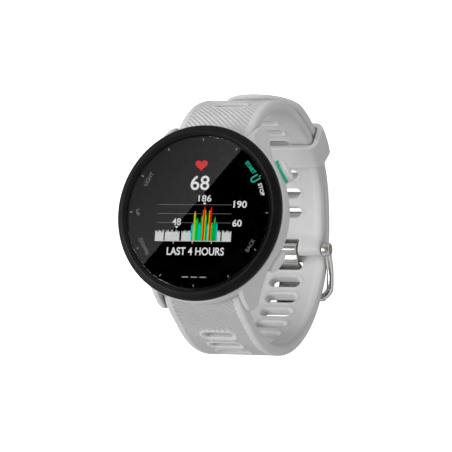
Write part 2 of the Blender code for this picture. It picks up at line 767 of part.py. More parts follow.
def build_tail_strap():
    outline, bar = tail_strap_outline()
    strap = prism("tail_strap", [outline], STRAP_WIDTH, side_on())
    cut(strap, slot_cutters("tail_strap_slots", TAIL_SLOTS))
    cut(strap, cylinder("lower_bar_room", BAR_RADIUS + 0.2, -12, 12, side_on(*bar), 20))
    _, heading = loop_place(LOOP_LENGTH)
    cut(strap, release_room("lower_release_room", bar, heading))
    half = STRAP_WIDTH / 2
    tip = circle_points(half, 21, 0, -180)
    outline = [(half + 2, 0.0)] + tip + [(-half - 2, 0.0), (-half - 2, -half - 3),
                                        (half + 2, -half - 3)]
    cut(strap, prism("tail_tip_room", [outline], 12.0, on_loop(TAIL_TIP)))
    paint(strap, "silicone")
    return bar, heading


def build_spring_bar(side, bar, heading):
    """Fixed half of a spring bar, and its sprung quick-release half with the finger knob."""
    place = side_on(*bar)
    barrel = cylinder(f"{side}_spring_bar", BAR_RADIUS, -9.7, 9.7, place, 20)
    join(barrel, cylinder(f"{side}_fixed_tip", BAR_TIP_RADIUS, -BAR_TIP_X, -9.5, place, 12))
    cut(barrel, cylinder(f"{side}_bar_hollow", BAR_BORE_RADIUS, BAR_BORE_X, 10.0, place, 16))
    ny, nz = outward(heading)
    knob_place = axes((1, 0, 0), (0, nz, -ny), (0, ny, nz), (0, bar[0], bar[1]))
    slot_x = (RELEASE_KNOB_X - RELEASE_TRAVEL - 0.7, RELEASE_KNOB_X + 0.7)
    cut(barrel, box(f"{side}_knob_slot", slot_x, (-0.6, 0.6), (-1.5, 0.0), knob_place))
    paint(barrel, "steel")
    start = RELEASE_KNOB_X - 2.0
    pin = cylinder(f"{side}_release_pin", BAR_TIP_RADIUS, start, BAR_TIP_X, place, 12)
    knob = cylinder(f"{side}_release_knob", 0.4, -2.3, 0.0,
                    knob_place @ Matrix.Translation((RELEASE_KNOB_X * MM, 0, 0)), 12)
    join(pin, knob)
    paint(pin, "steel")


# ---------------------------------------------------------------- keeper and buckle

def sector(inner, outer, low, high, count=9):
    """Outline between two radii and two headings, about the arc's centre."""
    headings = [low + (high - low) * i / (count - 1) for i in range(count)]
    far = [(outer * outward(h)[0], outer * outward(h)[1]) for h in headings]
    near = [(inner * outward(h)[0], inner * outward(h)[1]) for h in headings]
    return far + near[::-1]


def build_keeper():
    """Band round both strap layers; its hole is curved so that it can slide along them."""
    radius, _, start, heading, distance = ARCS[KEEPER_ARC]
    cy, cz = arc_centre(start, heading, radius)
    middle = heading + math.degrees((KEEPER_PLACE - distance) / radius)
    ny, nz = outward(middle)
    stack = STRAP_SPLIT + STRAP_THICKNESS + KEEPER_GAP
    width, wall = STRAP_WIDTH + 2 * KEEPER_GAP, 2 * KEEPER_WALL
    outline = rounded_rectangle(width + wall, 2 * stack + wall, KEEPER_CORNER)
    outline = [(x, y + radius) for x, y in outline]
    section = axes((1, 0, 0), (0, ny, nz), (0, -nz, ny), (0, cy, cz))
    keeper = prism("keeper", [outline], KEEPER_LENGTH, section)
    round_edges(keeper, 0.4, 1)
    reach = math.degrees(KEEPER_LENGTH / 2 / radius) + 5
    hole = sector(radius - stack, radius + stack, middle - reach, middle + reach)
    cut(keeper, prism("keeper_room", [hole], width, side_on(cy, cz)))
    paint(keeper, "silicone")


def build_buckle(pin):
    place = side_on(*pin)
    shaft = cylinder("buckle_pin", PIN_RADIUS, -PIN_END_X, PIN_END_X, place, 16)
    paint(shaft, "steel")
    build_buckle_frame(pin)
    build_tongue(pin)


def build_buckle_frame(pin):
    """Ears round the pin, two arms beside the tail strap, and the front bar outside it."""
    bar_offset = STRAP_SPLIT + STRAP_THICKNESS + 0.3 + FRAME_WIRE
    arm = [pin, loop_place(PIN_PLACE + 2.6, 0.1)[0], loop_place(83.0, 2.1)[0],
           loop_place(85.6, 3.3)[0], loop_place(87.2, bar_offset)[0]]
    (bar_y, bar_z), _ = loop_place(FRONT_BAR_PLACE, bar_offset)
    corner = 1.4
    right = [(FRAME_X, y, z) for y, z in arm]
    bend = [(FRAME_X - corner * (1 - math.cos(a)), arm[-1][0] + (bar_y - arm[-1][0]) * math.sin(a),
             arm[-1][1] + (bar_z - arm[-1][1]) * math.sin(a))
            for a in (math.radians(30), math.radians(60), math.radians(90))]
    half = right + bend
    route = half + [(-x, y, z) for x, y, z in reversed(half)]
    local = [Vector((y - pin[0], z - pin[1], x)) for x, y, z in route]
    frame = tube("buckle_frame", local, FRAME_WIRE, side_on(*pin))
    for sign in (1, -1):
        limits = sorted((EAR_INNER_X * sign, (FRAME_X + FRAME_WIRE) * sign))
        ear = cylinder(f"ear_{sign}", EAR_RADIUS, *limits, side_on(*pin), 20)
        join(frame, ear)
    cut(frame, cylinder("frame_pin_room", PIN_BORE, -14, 14, side_on(*pin), 20))
    rest = box("tongue_rest", (-TONGUE_WIDTH / 2 - 0.3, TONGUE_WIDTH / 2 + 0.3), (-3, 3),
               (0.35, 3), on_loop(FRONT_BAR_PLACE, bar_offset))
    cut(frame, rest)
    paint(frame, "steel")


def build_tongue(pin):
    """Tongue: a ring round the pin, and a blade through the tail's slot onto the front bar."""
    route = [(PIN_PLACE + 0.9, -1.7), (TONGUE_SLOT - 1.3, -1.3), (TONGUE_SLOT - 0.6, -0.9),
             (TONGUE_SLOT - 0.1, 0.2), (TONGUE_SLOT + 0.2, 1.9), (TONGUE_SLOT + 0.8, 3.1),
             (83.4, 3.75), (85.0, 4.25), (FRONT_BAR_PLACE, 4.95), (89.6, 5.05)]
    points = [loop_place(s, offset)[0] for s, offset in route]
    local = [(y - pin[0], z - pin[1]) for y, z in points]
    tongue = prism("buckle_tongue", [thick_line(local, TONGUE_THICKNESS)], TONGUE_WIDTH,
                   side_on(*pin))
    ring = cylinder("tongue_ring", EAR_RADIUS, -TONGUE_WIDTH / 2, TONGUE_WIDTH / 2, side_on(*pin), 20)
    join(tongue, ring)
    cut(tongue, cylinder("tongue_bore", PIN_BORE, -6, 6, side_on(*pin), 20))
    paint(tongue, "steel")


# ---------------------------------------------------------------- assembly

clear_scene()
parts = new_collection("gps_running_watch")
cutters = new_collection("cutters")

build_case()
build_collar()
build_bezel()
build_lens()
build_rear_cover()
build_sensor()
build_charging_port()
build_display()
build_board()
build_battery()
build_vibration_motor()
build_buzzer()
for button_name, (button_angle, button_face) in BUTTONS.items():
    build_button(button_name, button_angle, button_face)
pin_place, upper_bar = build_buckle_strap()
lower_bar, lower_heading = build_tail_strap()
build_spring_bar("upper", upper_bar, LOOP_HEADING)
build_spring_bar("lower", lower_bar, lower_heading)
build_keeper()
build_buckle(pin_place)
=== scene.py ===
"""Looks for the GPS running watch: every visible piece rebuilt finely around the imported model.

Units: sizes are in millimetres and angles in degrees; MM turns them into metres in the meshes.
Frame: +Z out of the dial, +Y to 12 o'clock, +X to 3 o'clock, origin at the sensor window's face.
"""

import json
import math

import bmesh
import bpy
import numpy as np
from mathutils import Matrix, Vector


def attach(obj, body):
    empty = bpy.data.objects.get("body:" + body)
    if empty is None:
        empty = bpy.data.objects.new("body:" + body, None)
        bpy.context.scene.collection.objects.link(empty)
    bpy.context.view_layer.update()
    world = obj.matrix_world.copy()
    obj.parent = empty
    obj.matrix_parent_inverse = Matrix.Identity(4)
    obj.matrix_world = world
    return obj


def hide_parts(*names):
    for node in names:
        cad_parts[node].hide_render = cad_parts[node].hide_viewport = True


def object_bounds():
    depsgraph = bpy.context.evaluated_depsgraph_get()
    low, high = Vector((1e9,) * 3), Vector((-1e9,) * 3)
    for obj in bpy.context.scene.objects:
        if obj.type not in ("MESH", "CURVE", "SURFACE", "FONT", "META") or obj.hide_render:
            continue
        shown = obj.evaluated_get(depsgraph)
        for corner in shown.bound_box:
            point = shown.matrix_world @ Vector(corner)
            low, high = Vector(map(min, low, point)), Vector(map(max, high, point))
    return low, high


MM = 0.001
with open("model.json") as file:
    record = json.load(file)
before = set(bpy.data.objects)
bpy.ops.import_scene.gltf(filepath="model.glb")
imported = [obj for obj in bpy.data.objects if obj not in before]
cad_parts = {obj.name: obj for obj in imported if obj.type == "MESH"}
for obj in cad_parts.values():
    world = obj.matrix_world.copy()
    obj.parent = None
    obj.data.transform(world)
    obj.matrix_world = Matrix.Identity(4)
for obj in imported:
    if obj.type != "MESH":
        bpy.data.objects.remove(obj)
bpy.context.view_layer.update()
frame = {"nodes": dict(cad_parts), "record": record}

# ---------------------------------------------------------------- sizes, as in the CAD model

CASE_RADIUS = 21.2
CASE_WAIST = 6.0
CASE_BOTTOM_RADIUS = 19.6
CASE_BOTTOM = 1.5
CASE_TOP = 9.4
CAVITY_RADIUS = 16.4
CAVITY_FLOOR = 2.6
COVER_ROOM = (18.9, 15.6)
COVER_ROOM_TOP = 2.7
COVER_SIZE = (18.7, 15.4)
SENSOR_HOLE = 8.5
PORT_SIZE = (7.8, 3.2)
PORT_Y = -12.6
SCREW_CIRCLE = 17.4
SCREW_TURNS = (47.0, 133.0, 227.0, 313.0)
SCREW_HEAD_ROOM = 1.0
SCREW_HOLE = 0.6
LED_PLACES = ((0.0, 0.0), (4.2, 0.0), (-4.2, 0.0), (0.0, 4.2), (0.0, -4.2))
LED_HALF = 1.1
LED_CORNER = 0.4
SPRING_BAR_HOLE = 0.65
BEZEL_RADIUS = 21.0
BEZEL_TOP = 11.6
LENS_RADIUS = 18.3
LENS_TOP = 11.1
PRINT_TOP = 10.5
DISPLAY_RADIUS = 13.15
HOUR_MARK_RADIUS = 17.43
HOUR_MARK_SIZE = (0.62, 0.2)

BUTTONS = {
    "start": (30.0, 22.8),
    "back": (-30.5, 21.9),
    "light": (150.0, 21.7),
    "up": (180.0, 21.7),
    "down": (210.0, 21.7),
}
BUTTON_HEIGHT = 4.2
CAP_REACH = (2.8, 1.9)
CAP_BACK = 20.0
CAP_ROUND = 0.45
STEM_RADIUS = 0.5
STEM_BACK = 15.9
RECESS_GAP = 0.2
RECESS_FLOOR = 19.3
COLLAR_WIDTH = 0.5
COLLAR_BASE = 19.7
COLLAR_FACE = 21.7
COLLAR_REACH = 62.0

LUG_INNER_X = 10.4
LUG_LEAN = 0.225
BAR_Y = 19.0
BAR_Z = 3.6
STRAP_SPLIT = 0.15
STRAP_THICKNESS = 2.5
STRAP_HALF = 10.0
KNUCKLE_RADIUS = 1.75
KNUCKLE_TAPER = 9.0
SLOT_LENGTH = 8.0
SLOT_WIDTH = 2.4
BUCKLE_STRAP_SLOTS = [13.4 + 5.4 * step for step in range(11)]
TAIL_SLOTS = [133.9 - 4.8 * step for step in range(20)]
TONGUE_SLOT = TAIL_SLOTS[11]
TAIL_TIP = 35.7
TIP_THINNING = 0.6
TIP_THINNING_LENGTH = 14.0
PIN_PLACE = 77.5
PIN_RADIUS = 0.7
PIN_BORE = 0.95
PIN_END_X = 12.2
STRAP_END_HALF = 9.7
NOTCH_HALF = 3.6
NOTCH_START = 74.9
EAR_INNER_X = 10.0
EAR_RADIUS = 1.65
FRAME_WIRE = 0.85
FRAME_X = 11.2
FRONT_BAR_PLACE = 88.3
TONGUE_HALF = 3.1
TONGUE_THICKNESS = 1.0
KEEPER_PLACE = 49.3
KEEPER_LENGTH = 8.0
KEEPER_WALL = 1.6
KEEPER_GAP = 0.3
KEEPER_CORNER = 1.6
KEEPER_EDGE = 0.6
KEEPER_CROWN = 0.12

# The loop line between the two strap layers: tangent arcs, each a radius and a turn
LOOP_START = (20.0, 5.2)
LOOP_HEADING = 32.0
LOOP_ARCS = [(25.7, 67.6), (53.2, 12.0), (26.0, 53.4), (60.2, 5.0), (28.8, 86.7)]

# Surface detail of the strap
GROOVE_PITCH = 0.94
GROOVE_DEPTH = 0.48
GROOVE_STEPS = 6
BORDER = 1.9
RIM = 0.75
EDGE_ROUND = 0.85
SLOT_ROUND = 0.35
SLOT_TAPER = 0.3
SLOT_INNER_ROUND = 0.6
RECESS_DEPTH = 0.22
BAR_HOLE = 1.1


# Mesh clean-up, in millimetres
JOIN_REACH = 0.001
SHORTEST_EDGE = 0.0005
CASE_VOXEL = 0.2


# ---------------------------------------------------------------- the loop line

def arc_centre(point, heading, radius):
    turn = math.radians(heading)
    return point[0] - radius * math.sin(turn), point[1] - radius * math.cos(turn)


def arc_end(point, heading, radius, turn):
    y, z = arc_centre(point, heading, radius)
    end = math.radians(heading + turn)
    return y + radius * math.sin(end), z + radius * math.cos(end)


def closing_arc(point, heading):
    """The last arc: it ends on the strap knuckle at the 6 o'clock lug."""
    bar = (-BAR_Y, BAR_Z)
    reach = STRAP_SPLIT + KNUCKLE_RADIUS
    turn = math.radians(heading)
    ny, nz = math.sin(turn), math.cos(turn)
    dy, dz = point[0] - bar[0], point[1] - bar[1]
    radius = (reach ** 2 - dy ** 2 - dz ** 2) / (2 * (-reach - dy * ny - dz * nz))
    cy, cz = point[0] - radius * ny, point[1] - radius * nz
    end = math.degrees(math.atan2(bar[0] - cy, bar[1] - cz)) % 360
    return radius, end - heading


def loop_arcs():
    arcs = []
    point, heading, distance = LOOP_START, LOOP_HEADING, 0.0
    for radius, turn in LOOP_ARCS:
        arcs.append((radius, turn, point, heading, distance))
        point = arc_end(point, heading, radius, turn)
        heading += turn
        distance += radius * math.radians(turn)
    radius, turn = closing_arc(point, heading)
    arcs.append((radius, turn, point, heading, distance))
    return arcs, distance + radius * math.radians(turn)


ARCS, LOOP_LENGTH = loop_arcs()


def to_loop(distance, offset):
    """World y and z in millimetres of places on the loop, for whole arrays at once."""
    distance, offset = np.broadcast_arrays(np.asarray(distance, float), np.asarray(offset, float))
    y, z = np.zeros(distance.shape), np.zeros(distance.shape)
    for index, (radius, _, start, heading, begin) in enumerate(ARCS):
        here = distance >= begin if index else np.full(distance.shape, True)
        centre = arc_centre(start, heading, radius)
        angle = math.radians(heading) + (distance[here] - begin) / radius
        y[here] = centre[0] + (radius + offset[here]) * np.sin(angle)
        z[here] = centre[1] + (radius + offset[here]) * np.cos(angle)
    return y, z


def loop_point(distance, offset):
    y, z = to_loop(distance, offset)
    return float(y), float(z)


def heading_at(distance):
    radius, _, _, heading, begin = [arc for arc in ARCS if arc[4] <= max(distance, 0.0)][-1]
    return math.radians(heading) + (distance - begin) / radius


# ---------------------------------------------------------------- node materials

MATERIALS = {}

# Inks of the dial's print and of its display's pixels; each glows in its own colour, a painted light that
# stands in for the lamps' light reaching it through the lens
INKS = {
    "ink_white": (0.72, 0.72, 0.72),
    "ink_grey": (0.3, 0.3, 0.3),
    "ink_label": (0.17, 0.17, 0.17),
    "ink_line": (0.1, 0.1, 0.1),
    "ink_bars": (0.6, 0.6, 0.6),
    "ink_green": (0.02, 0.47, 0.31),
    "ink_red": (0.62, 0.02, 0.02),
    "bar_cyan": (0.0, 0.52, 0.55),
    "bar_green": (0.0, 0.52, 0.06),
    "bar_deep_green": (0.0, 0.2, 0.01),
    "bar_yellow": (0.52, 0.52, 0.0),
    "bar_orange": (0.62, 0.2, 0.0),
    "bar_red": (0.62, 0.012, 0.0),
}
DOT_SIZE = 0.11
LED_CELL = 0.5


def new_material(name, color, roughness, metallic=0.0):
    """Principled material, its node tree, its shader and its object coordinates."""
    material = bpy.data.materials.new(name)
    material.use_nodes = True
    tree = material.node_tree
    shader = tree.nodes["Principled BSDF"]
    shader.inputs["Base Color"].default_value = (*color, 1.0)
    shader.inputs["Roughness"].default_value = roughness
    shader.inputs["Metallic"].default_value = metallic
    place = tree.nodes.new("ShaderNodeTexCoord").outputs["Object"]
    MATERIALS[name] = material
    return tree, shader, place


def noise(tree, place, size, detail=3.0, roughness=0.55, stretch=None):
    """Noise whose features are about this many millimetres wide."""
    if stretch:
        mapping = tree.nodes.new("ShaderNodeMapping")
        mapping.inputs["Scale"].default_value = stretch
        tree.links.new(place, mapping.inputs["Vector"])
        place = mapping.outputs["Vector"]
    node = tree.nodes.new("ShaderNodeTexNoise")
    node.inputs["Scale"].default_value = 1.0 / (size * MM)
    node.inputs["Detail"].default_value = detail
    node.inputs["Roughness"].default_value = roughness
    tree.links.new(place, node.inputs["Vector"])
    return node.outputs["Fac"]


def ramp(tree, value, stops):
    """Colour ramp with (position, colour) stops."""
    node = tree.nodes.new("ShaderNodeValToRGB")
    elements = node.color_ramp.elements
    while len(elements) < len(stops):
        elements.new(0.5)
    for element, (position, color) in zip(elements, stops):
        element.position = position
        element.color = (*color, 1.0)
    tree.links.new(value, node.inputs["Fac"])
    return node.outputs["Color"]


def scaled(tree, value, low, high):
    """Map a 0 to 1 value to the range from low to high."""
    node = tree.nodes.new("ShaderNodeMapRange")
    node.inputs["To Min"].default_value = low
    node.inputs["To Max"].default_value = high
    tree.links.new(value, node.inputs["Value"])
    return node.outputs["Result"]


def bump(tree, shader, height, depth):
    """Surface relief of the given depth in millimetres."""
    node = tree.nodes.new("ShaderNodeBump")
    node.inputs["Strength"].default_value = 1.0
    node.inputs["Distance"].default_value = depth * MM
    tree.links.new(height, node.inputs["Height"])
    tree.links.new(node.outputs["Normal"], shader.inputs["Normal"])


def mottled(name, dark, light, size, rough, grain, depth, metallic=0.0, stretch=None):
    """Moulded or finished surface: slow colour change, uneven gloss and a fine grain."""
    tree, shader, place = new_material(name, light, rough[0], metallic)
    broad = noise(tree, place, size, 2.0, stretch=stretch)
    tree.links.new(ramp(tree, broad, [(0.3, dark), (0.7, light)]), shader.inputs["Base Color"])
    fine = noise(tree, place, grain, 4.0, stretch=stretch)
    tree.links.new(scaled(tree, fine, *rough), shader.inputs["Roughness"])
    bump(tree, shader, fine, depth)
    return tree, shader, place


def print_ink(name, color, painted_glow):
    """Print or display pixels under the lens: a fine dot screen over one colour, shown mostly by a painted
    glow in that colour in place of the light that reaches it through the lens.
    """
    tree, shader, place = new_material(name, color, 0.5)
    cells = tree.nodes.new("ShaderNodeTexVoronoi")
    cells.inputs["Scale"].default_value = 1.0 / (DOT_SIZE * MM)
    cells.inputs["Randomness"].default_value = 0.0
    tree.links.new(place, cells.inputs["Vector"])
    dim = tuple(c * 0.8 for c in color)
    screen = ramp(tree, cells.outputs["Distance"], [(0.35, color), (0.7, dim)])
    unlit = tuple(c * 0.2 for c in color)
    tree.links.new(ramp(tree, cells.outputs["Distance"], [(0.35, unlit), (0.7, (0.0, 0.0, 0.0))]),
                   shader.inputs["Base Color"])
    # painted light: the dot screen glows in the ink's colour in place of the lamps' light that the lens
    # keeps from the print; the base colour is a fifth as bright
    tree.links.new(screen, shader.inputs["Emission Color"])
    shader.inputs["Emission Strength"].default_value = painted_glow
    shader.inputs["Specular IOR Level"].default_value = 0.0


def build_materials():
    _, shader, _ = mottled("silicone", (0.575, 0.574, 0.572), (0.615, 0.614, 0.612), 9.0,
                           (0.5, 0.68), 0.25, 0.006)
    shader.inputs["Sheen Weight"].default_value = 0.12
    shader.inputs["Sheen Roughness"].default_value = 0.5
    shader.inputs["Subsurface Weight"].default_value = 0.08
    shader.inputs["Subsurface Radius"].default_value = (0.0012, 0.0011, 0.001)
    mottled("case_polymer", (0.60, 0.60, 0.598), (0.635, 0.635, 0.633), 6.0, (0.36, 0.52), 0.12, 0.004)
    mottled("cap_polymer", (0.70, 0.70, 0.698), (0.74, 0.74, 0.738), 4.0, (0.32, 0.45), 0.12, 0.003)
    _, shader, _ = mottled("bezel_black", (0.0045, 0.0045, 0.0045), (0.007, 0.007, 0.007), 4.0,
                           (0.36, 0.46), 0.10, 0.003)
    shader.inputs["Specular IOR Level"].default_value = 0.14
    mottled("window_black", (0.008, 0.008, 0.009), (0.013, 0.013, 0.014), 5.0, (0.05, 0.10), 0.4, 0.0006)
    mottled("accent_green", (0.012, 0.40, 0.25), (0.016, 0.47, 0.30), 1.5, (0.35, 0.5), 0.1, 0.003)
    mottled("steel", (0.72, 0.715, 0.70), (0.80, 0.795, 0.78), 1.2, (0.20, 0.27), 0.12, 0.0002, 1.0,
            (0.2, 1.0, 1.0))
    mottled("gold_plate", (0.74, 0.52, 0.22), (0.86, 0.65, 0.32), 0.8, (0.18, 0.32), 0.1, 0.002, 1.0)
    mottled("board_green", (0.012, 0.10, 0.045), (0.02, 0.16, 0.07), 1.6, (0.35, 0.55), 0.3, 0.02)
    mottled("cell_foil", (0.50, 0.51, 0.53), (0.60, 0.61, 0.63), 3.0, (0.25, 0.45), 0.6, 0.01, 0.8)
    mottled("black_plastic", (0.018, 0.018, 0.018), (0.03, 0.03, 0.03), 2.0, (0.42, 0.58), 0.1, 0.004)
    mottled("black_rubber", (0.012, 0.012, 0.012), (0.02, 0.02, 0.02), 1.0, (0.7, 0.85), 0.1, 0.004)
    _, shader, _ = mottled("dial_black", (0.0010, 0.0010, 0.0011), (0.0018, 0.0018, 0.0020), 6.0,
                           (0.5, 0.6), 0.2, 0.001)
    shader.inputs["Specular IOR Level"].default_value = 0.0
    print_ink("display_off", (0.004, 0.004, 0.0045), 0.0)
    for name, color in INKS.items():
        # each ink gets a painted glow of strength 1, standing in for the light on the print under the lens
        print_ink(name, color, 1.0)
    build_glass()
    build_led_material()


def build_glass():
    tree, shader, place = new_material("glass", (1.0, 1.0, 1.0), 0.0)
    shader.inputs["Transmission Weight"].default_value = 1.0
    shader.inputs["IOR"].default_value = 1.5
    smudges = noise(tree, place, 7.0, 5.0, 0.7)
    tree.links.new(scaled(tree, smudges, 0.0, 0.012), shader.inputs["Roughness"])


def build_led_material():
    tree, shader, place = new_material("led_window", (0.05, 0.12, 0.06), 0.08)
    cells = tree.nodes.new("ShaderNodeTexVoronoi")
    cells.inputs["Scale"].default_value = 1.0 / (LED_CELL * MM)
    tree.links.new(place, cells.inputs["Vector"])
    tint = ramp(tree, cells.outputs["Distance"], [(0.2, (0.03, 0.09, 0.05)), (0.8, (0.10, 0.16, 0.11))])
    tree.links.new(tint, shader.inputs["Base Color"])


# ---------------------------------------------------------------- mesh helpers

def finish_piece(obj, body, material, replaced=()):
    """Give a new piece its material, its body and the CAD nodes that it stands for."""
    obj.data.materials.clear()
    obj.data.materials.append(MATERIALS[material])
    obj.data.shade_smooth()
    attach(obj, body)
    if replaced:
        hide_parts(*replaced)
    return obj


def sharpen(obj, angle=32.0):
    """Smooth shading with hard edges above the angle, and flat faces kept flat."""
    obj.data.shade_smooth()
    obj.data.set_sharp_from_angle(angle=math.radians(angle))
    modifier = obj.modifiers.new("flat faces", "WEIGHTED_NORMAL")
    modifier.keep_sharp = True
    modifier.weight = 90
    apply_modifiers(obj)


def linked(name, data):
    obj = bpy.data.objects.new(name, data)
    bpy.context.scene.collection.objects.link(obj)
    return obj


def cleaned(mesh, join=0.0, shortest=0.0):
    """Join points and drop edges shorter than these millimetres, and turn all faces outwards."""
    work = bmesh.new()
    work.from_mesh(mesh)
    if join:
        bmesh.ops.remove_doubles(work, verts=work.verts, dist=join * MM)
    if shortest:
        bmesh.ops.dissolve_degenerate(work, edges=work.edges, dist=shortest * MM)
    bmesh.ops.recalc_face_normals(work, faces=work.faces)
    work.to_mesh(mesh)
    work.free()


def mesh_object(name, vertices, faces):
    """Object from vertices in millimetres."""
    mesh = bpy.data.meshes.new(name)
    mesh.from_pydata([tuple(c * MM for c in v) for v in vertices], [], [list(f) for f in faces])
    mesh.validate()
    cleaned(mesh)
    return linked(name, mesh)


def frame_matrix(x_axis, y_axis, z_axis, origin):
    matrix = Matrix.Identity(4)
    for column, axis in enumerate((x_axis, y_axis, z_axis)):
        for row in range(3):
            matrix[row][column] = axis[row]
    for row in range(3):
        matrix[row][3] = origin[row] * MM
    return matrix


def side_on(y=0.0, z=0.0, x=0.0):
    """Local X and Y lie along world Y and Z, and local Z along world X."""
    return frame_matrix((0, 1, 0), (0, 0, 1), (1, 0, 0), (x, y, z))


def radial(angle, radius, height):
    """Local Z points outwards at this angle round the dial, and local Y points up."""
    turn = math.radians(angle)
    out = (math.cos(turn), math.sin(turn), 0)
    return frame_matrix((-out[1], out[0], 0), (0, 0, 1), out,
                        (radius * out[0], radius * out[1], height))


def polar(radius, angle):
    turn = math.radians(angle)
    return radius * math.cos(turn), radius * math.sin(turn)


def circle(radius, count, start=0.0, sweep=360.0, centre=(0.0, 0.0)):
    steps = count if sweep == 360.0 else count - 1
    angles = [math.radians(start + sweep * k / steps) for k in range(count)]
    return [(centre[0] + radius * math.cos(a), centre[1] + radius * math.sin(a)) for a in angles]


def oval(half_x, half_y, count=64, start=0.0, sweep=360.0):
    return [(half_x * x, half_y * y) for x, y in circle(1.0, count, start, sweep)]


def stadium(length, width, count=13, centre=(0.0, 0.0)):
    """Outline with round ends, long along X."""
    reach = (length - width) / 2
    right = circle(width / 2, count, -90, 180, (centre[0] + reach, centre[1]))
    return right + circle(width / 2, count, 90, 180, (centre[0] - reach, centre[1]))


def rectangle(x0, x1, y0, y1):
    return [(x0, y0), (x1, y0), (x1, y1), (x0, y1)]


def slab(name, outline, low, high, placement=Matrix.Identity(4), bevel=0.0, segments=3):
    """Outline extruded along local Z, with rounded edges where a bevel is given."""
    count = len(outline)
    vertices = [(x, y, low) for x, y in outline] + [(x, y, high) for x, y in outline]
    faces = [list(range(count))[::-1], list(range(count, 2 * count))]
    faces += [[k, (k + 1) % count, count + (k + 1) % count, count + k] for k in range(count)]
    obj = mesh_object(name, vertices, faces)
    obj.data.transform(placement)
    if bevel:
        modifier = obj.modifiers.new("bevel", "BEVEL")
        modifier.width = bevel * MM
        modifier.segments = segments
        modifier.limit_method = "ANGLE"
        modifier.angle_limit = math.radians(50)
        apply_modifiers(obj)
    return obj


def lathe(name, profile, segments, placement=Matrix.Identity(4), ring=False):
    """Profile of (radius, height) points turned about local Z, closed into a ring or on the axis."""
    count = len(profile)
    vertices, faces = [], []
    for k in range(segments):
        turn = 2 * math.pi * k / segments
        vertices += [(r * math.cos(turn), r * math.sin(turn), z) for r, z in profile]
    for k in range(segments):
        a, b = k * count, (k + 1) % segments * count
        last = count if ring else count - 1
        faces += [[a + i, b + i, b + (i + 1) % count, a + (i + 1) % count] for i in range(last)]
    obj = mesh_object(name, vertices, faces)
    cleaned(obj.data, JOIN_REACH, SHORTEST_EDGE)
    obj.data.transform(placement)
    return obj


def rounded(points, radius, steps=5, closed=True):
    """Replace each corner of an outline with an arc of about the given radius."""
    result = []
    count = len(points)
    for k, point in enumerate(points):
        if not closed and k in (0, count - 1):
            result.append(point)
            continue
        here = Vector(point)
        before, after = Vector(points[k - 1]) - here, Vector(points[(k + 1) % count]) - here
        reach = min(radius, before.length * 0.45, after.length * 0.45)
        start, end = here + before.normalized() * reach, here + after.normalized() * reach
        for step in range(steps + 1):
            t = step / steps
            result.append(tuple(start * (1 - t) ** 2 + here * 2 * t * (1 - t) + end * t ** 2))
    return result


def apply_modifiers(obj):
    graph = bpy.context.evaluated_depsgraph_get()
    mesh = bpy.data.meshes.new_from_object(obj.evaluated_get(graph))
    obj.modifiers.clear()
    old = obj.data
    obj.data = mesh
    bpy.data.meshes.remove(old)
    return obj


def combine(obj, others, operation):
    """Cut the others out of the object, or join them on, and remove them."""
    for other in others:
        modifier = obj.modifiers.new("combine", "BOOLEAN")
        modifier.operation = operation
        modifier.solver = "EXACT"
        modifier.object = other
        apply_modifiers(obj)
        bpy.data.objects.remove(other, do_unlink=True)
    return obj


def merged(name, objects):
    """One mesh from several separate solids."""
    work = bmesh.new()
    for obj in objects:
        obj.data.transform(obj.matrix_world)
        work.from_mesh(obj.data)
        bpy.data.objects.remove(obj, do_unlink=True)
    mesh = bpy.data.meshes.new(name)
    work.to_mesh(mesh)
    work.free()
    return linked(name, mesh)


def softened(obj, voxel, smoothing, keep):
    """Moulded look: rebuild on a fine grid, blend the edges, then thin out the mesh."""
    remesh = obj.modifiers.new("remesh", "REMESH")
    remesh.mode = "VOXEL"
    remesh.voxel_size = voxel * MM
    smooth = obj.modifiers.new("smooth", "SMOOTH")
    smooth.factor = 0.5
    smooth.iterations = smoothing
    thin = obj.modifiers.new("thin", "DECIMATE")
    thin.ratio = keep
    return apply_modifiers(obj)


# ---------------------------------------------------------------- strap

def eased(distance, end, length):
    """1 at the end of a strap, falling smoothly to 0 over the given length."""
    t = np.clip(1.0 - np.abs(distance - end) / length, 0.0, 1.0)
    return t * t * (3 - 2 * t)


def smoothstep(value, low, high):
    t = np.clip((value - low) / (high - low), 0.0, 1.0)
    return t * t * (3 - 2 * t)


def rounding(distance, radius):
    """How far an edge rounded to this radius falls away at a distance inside the edge."""
    inside = np.clip(distance, 0.0, radius)
    return radius - np.sqrt(np.maximum(radius ** 2 - (radius - inside) ** 2, 0.0))


def slot_distance(x, s, slots):
    """Distance from the nearest slot's edge, measured in the strap's own plane."""
    straight = SLOT_LENGTH / 2 - SLOT_WIDTH / 2
    across = np.maximum(np.abs(x) - straight, 0.0)
    nearest = np.full(x.shape, 99.0)
    for place in slots:
        nearest = np.minimum(nearest, np.hypot(across, s - place) - SLOT_WIDTH / 2)
    return nearest


def grooves(x, s, mask):
    """Fine diagonal grooves, one every GROOVE_PITCH."""
    phase = (x + s) / math.sqrt(2) / GROOVE_PITCH
    valley = 0.5 - 0.5 * np.cos(2 * math.pi * phase)
    return GROOVE_DEPTH * mask * smoothstep(valley, 0.1, 0.7)


def strap_samples(start, end, step, edge):
    """Even samples on the groove grid, with finer ones at both ends."""
    near = np.array([0.0, 0.04, 0.13, 0.26, 0.42])
    first = math.ceil((start + edge) / step) * step
    middle = np.arange(first, end - edge + 1e-6, step)
    return np.concatenate([start + near, middle, (end - near)[::-1]])


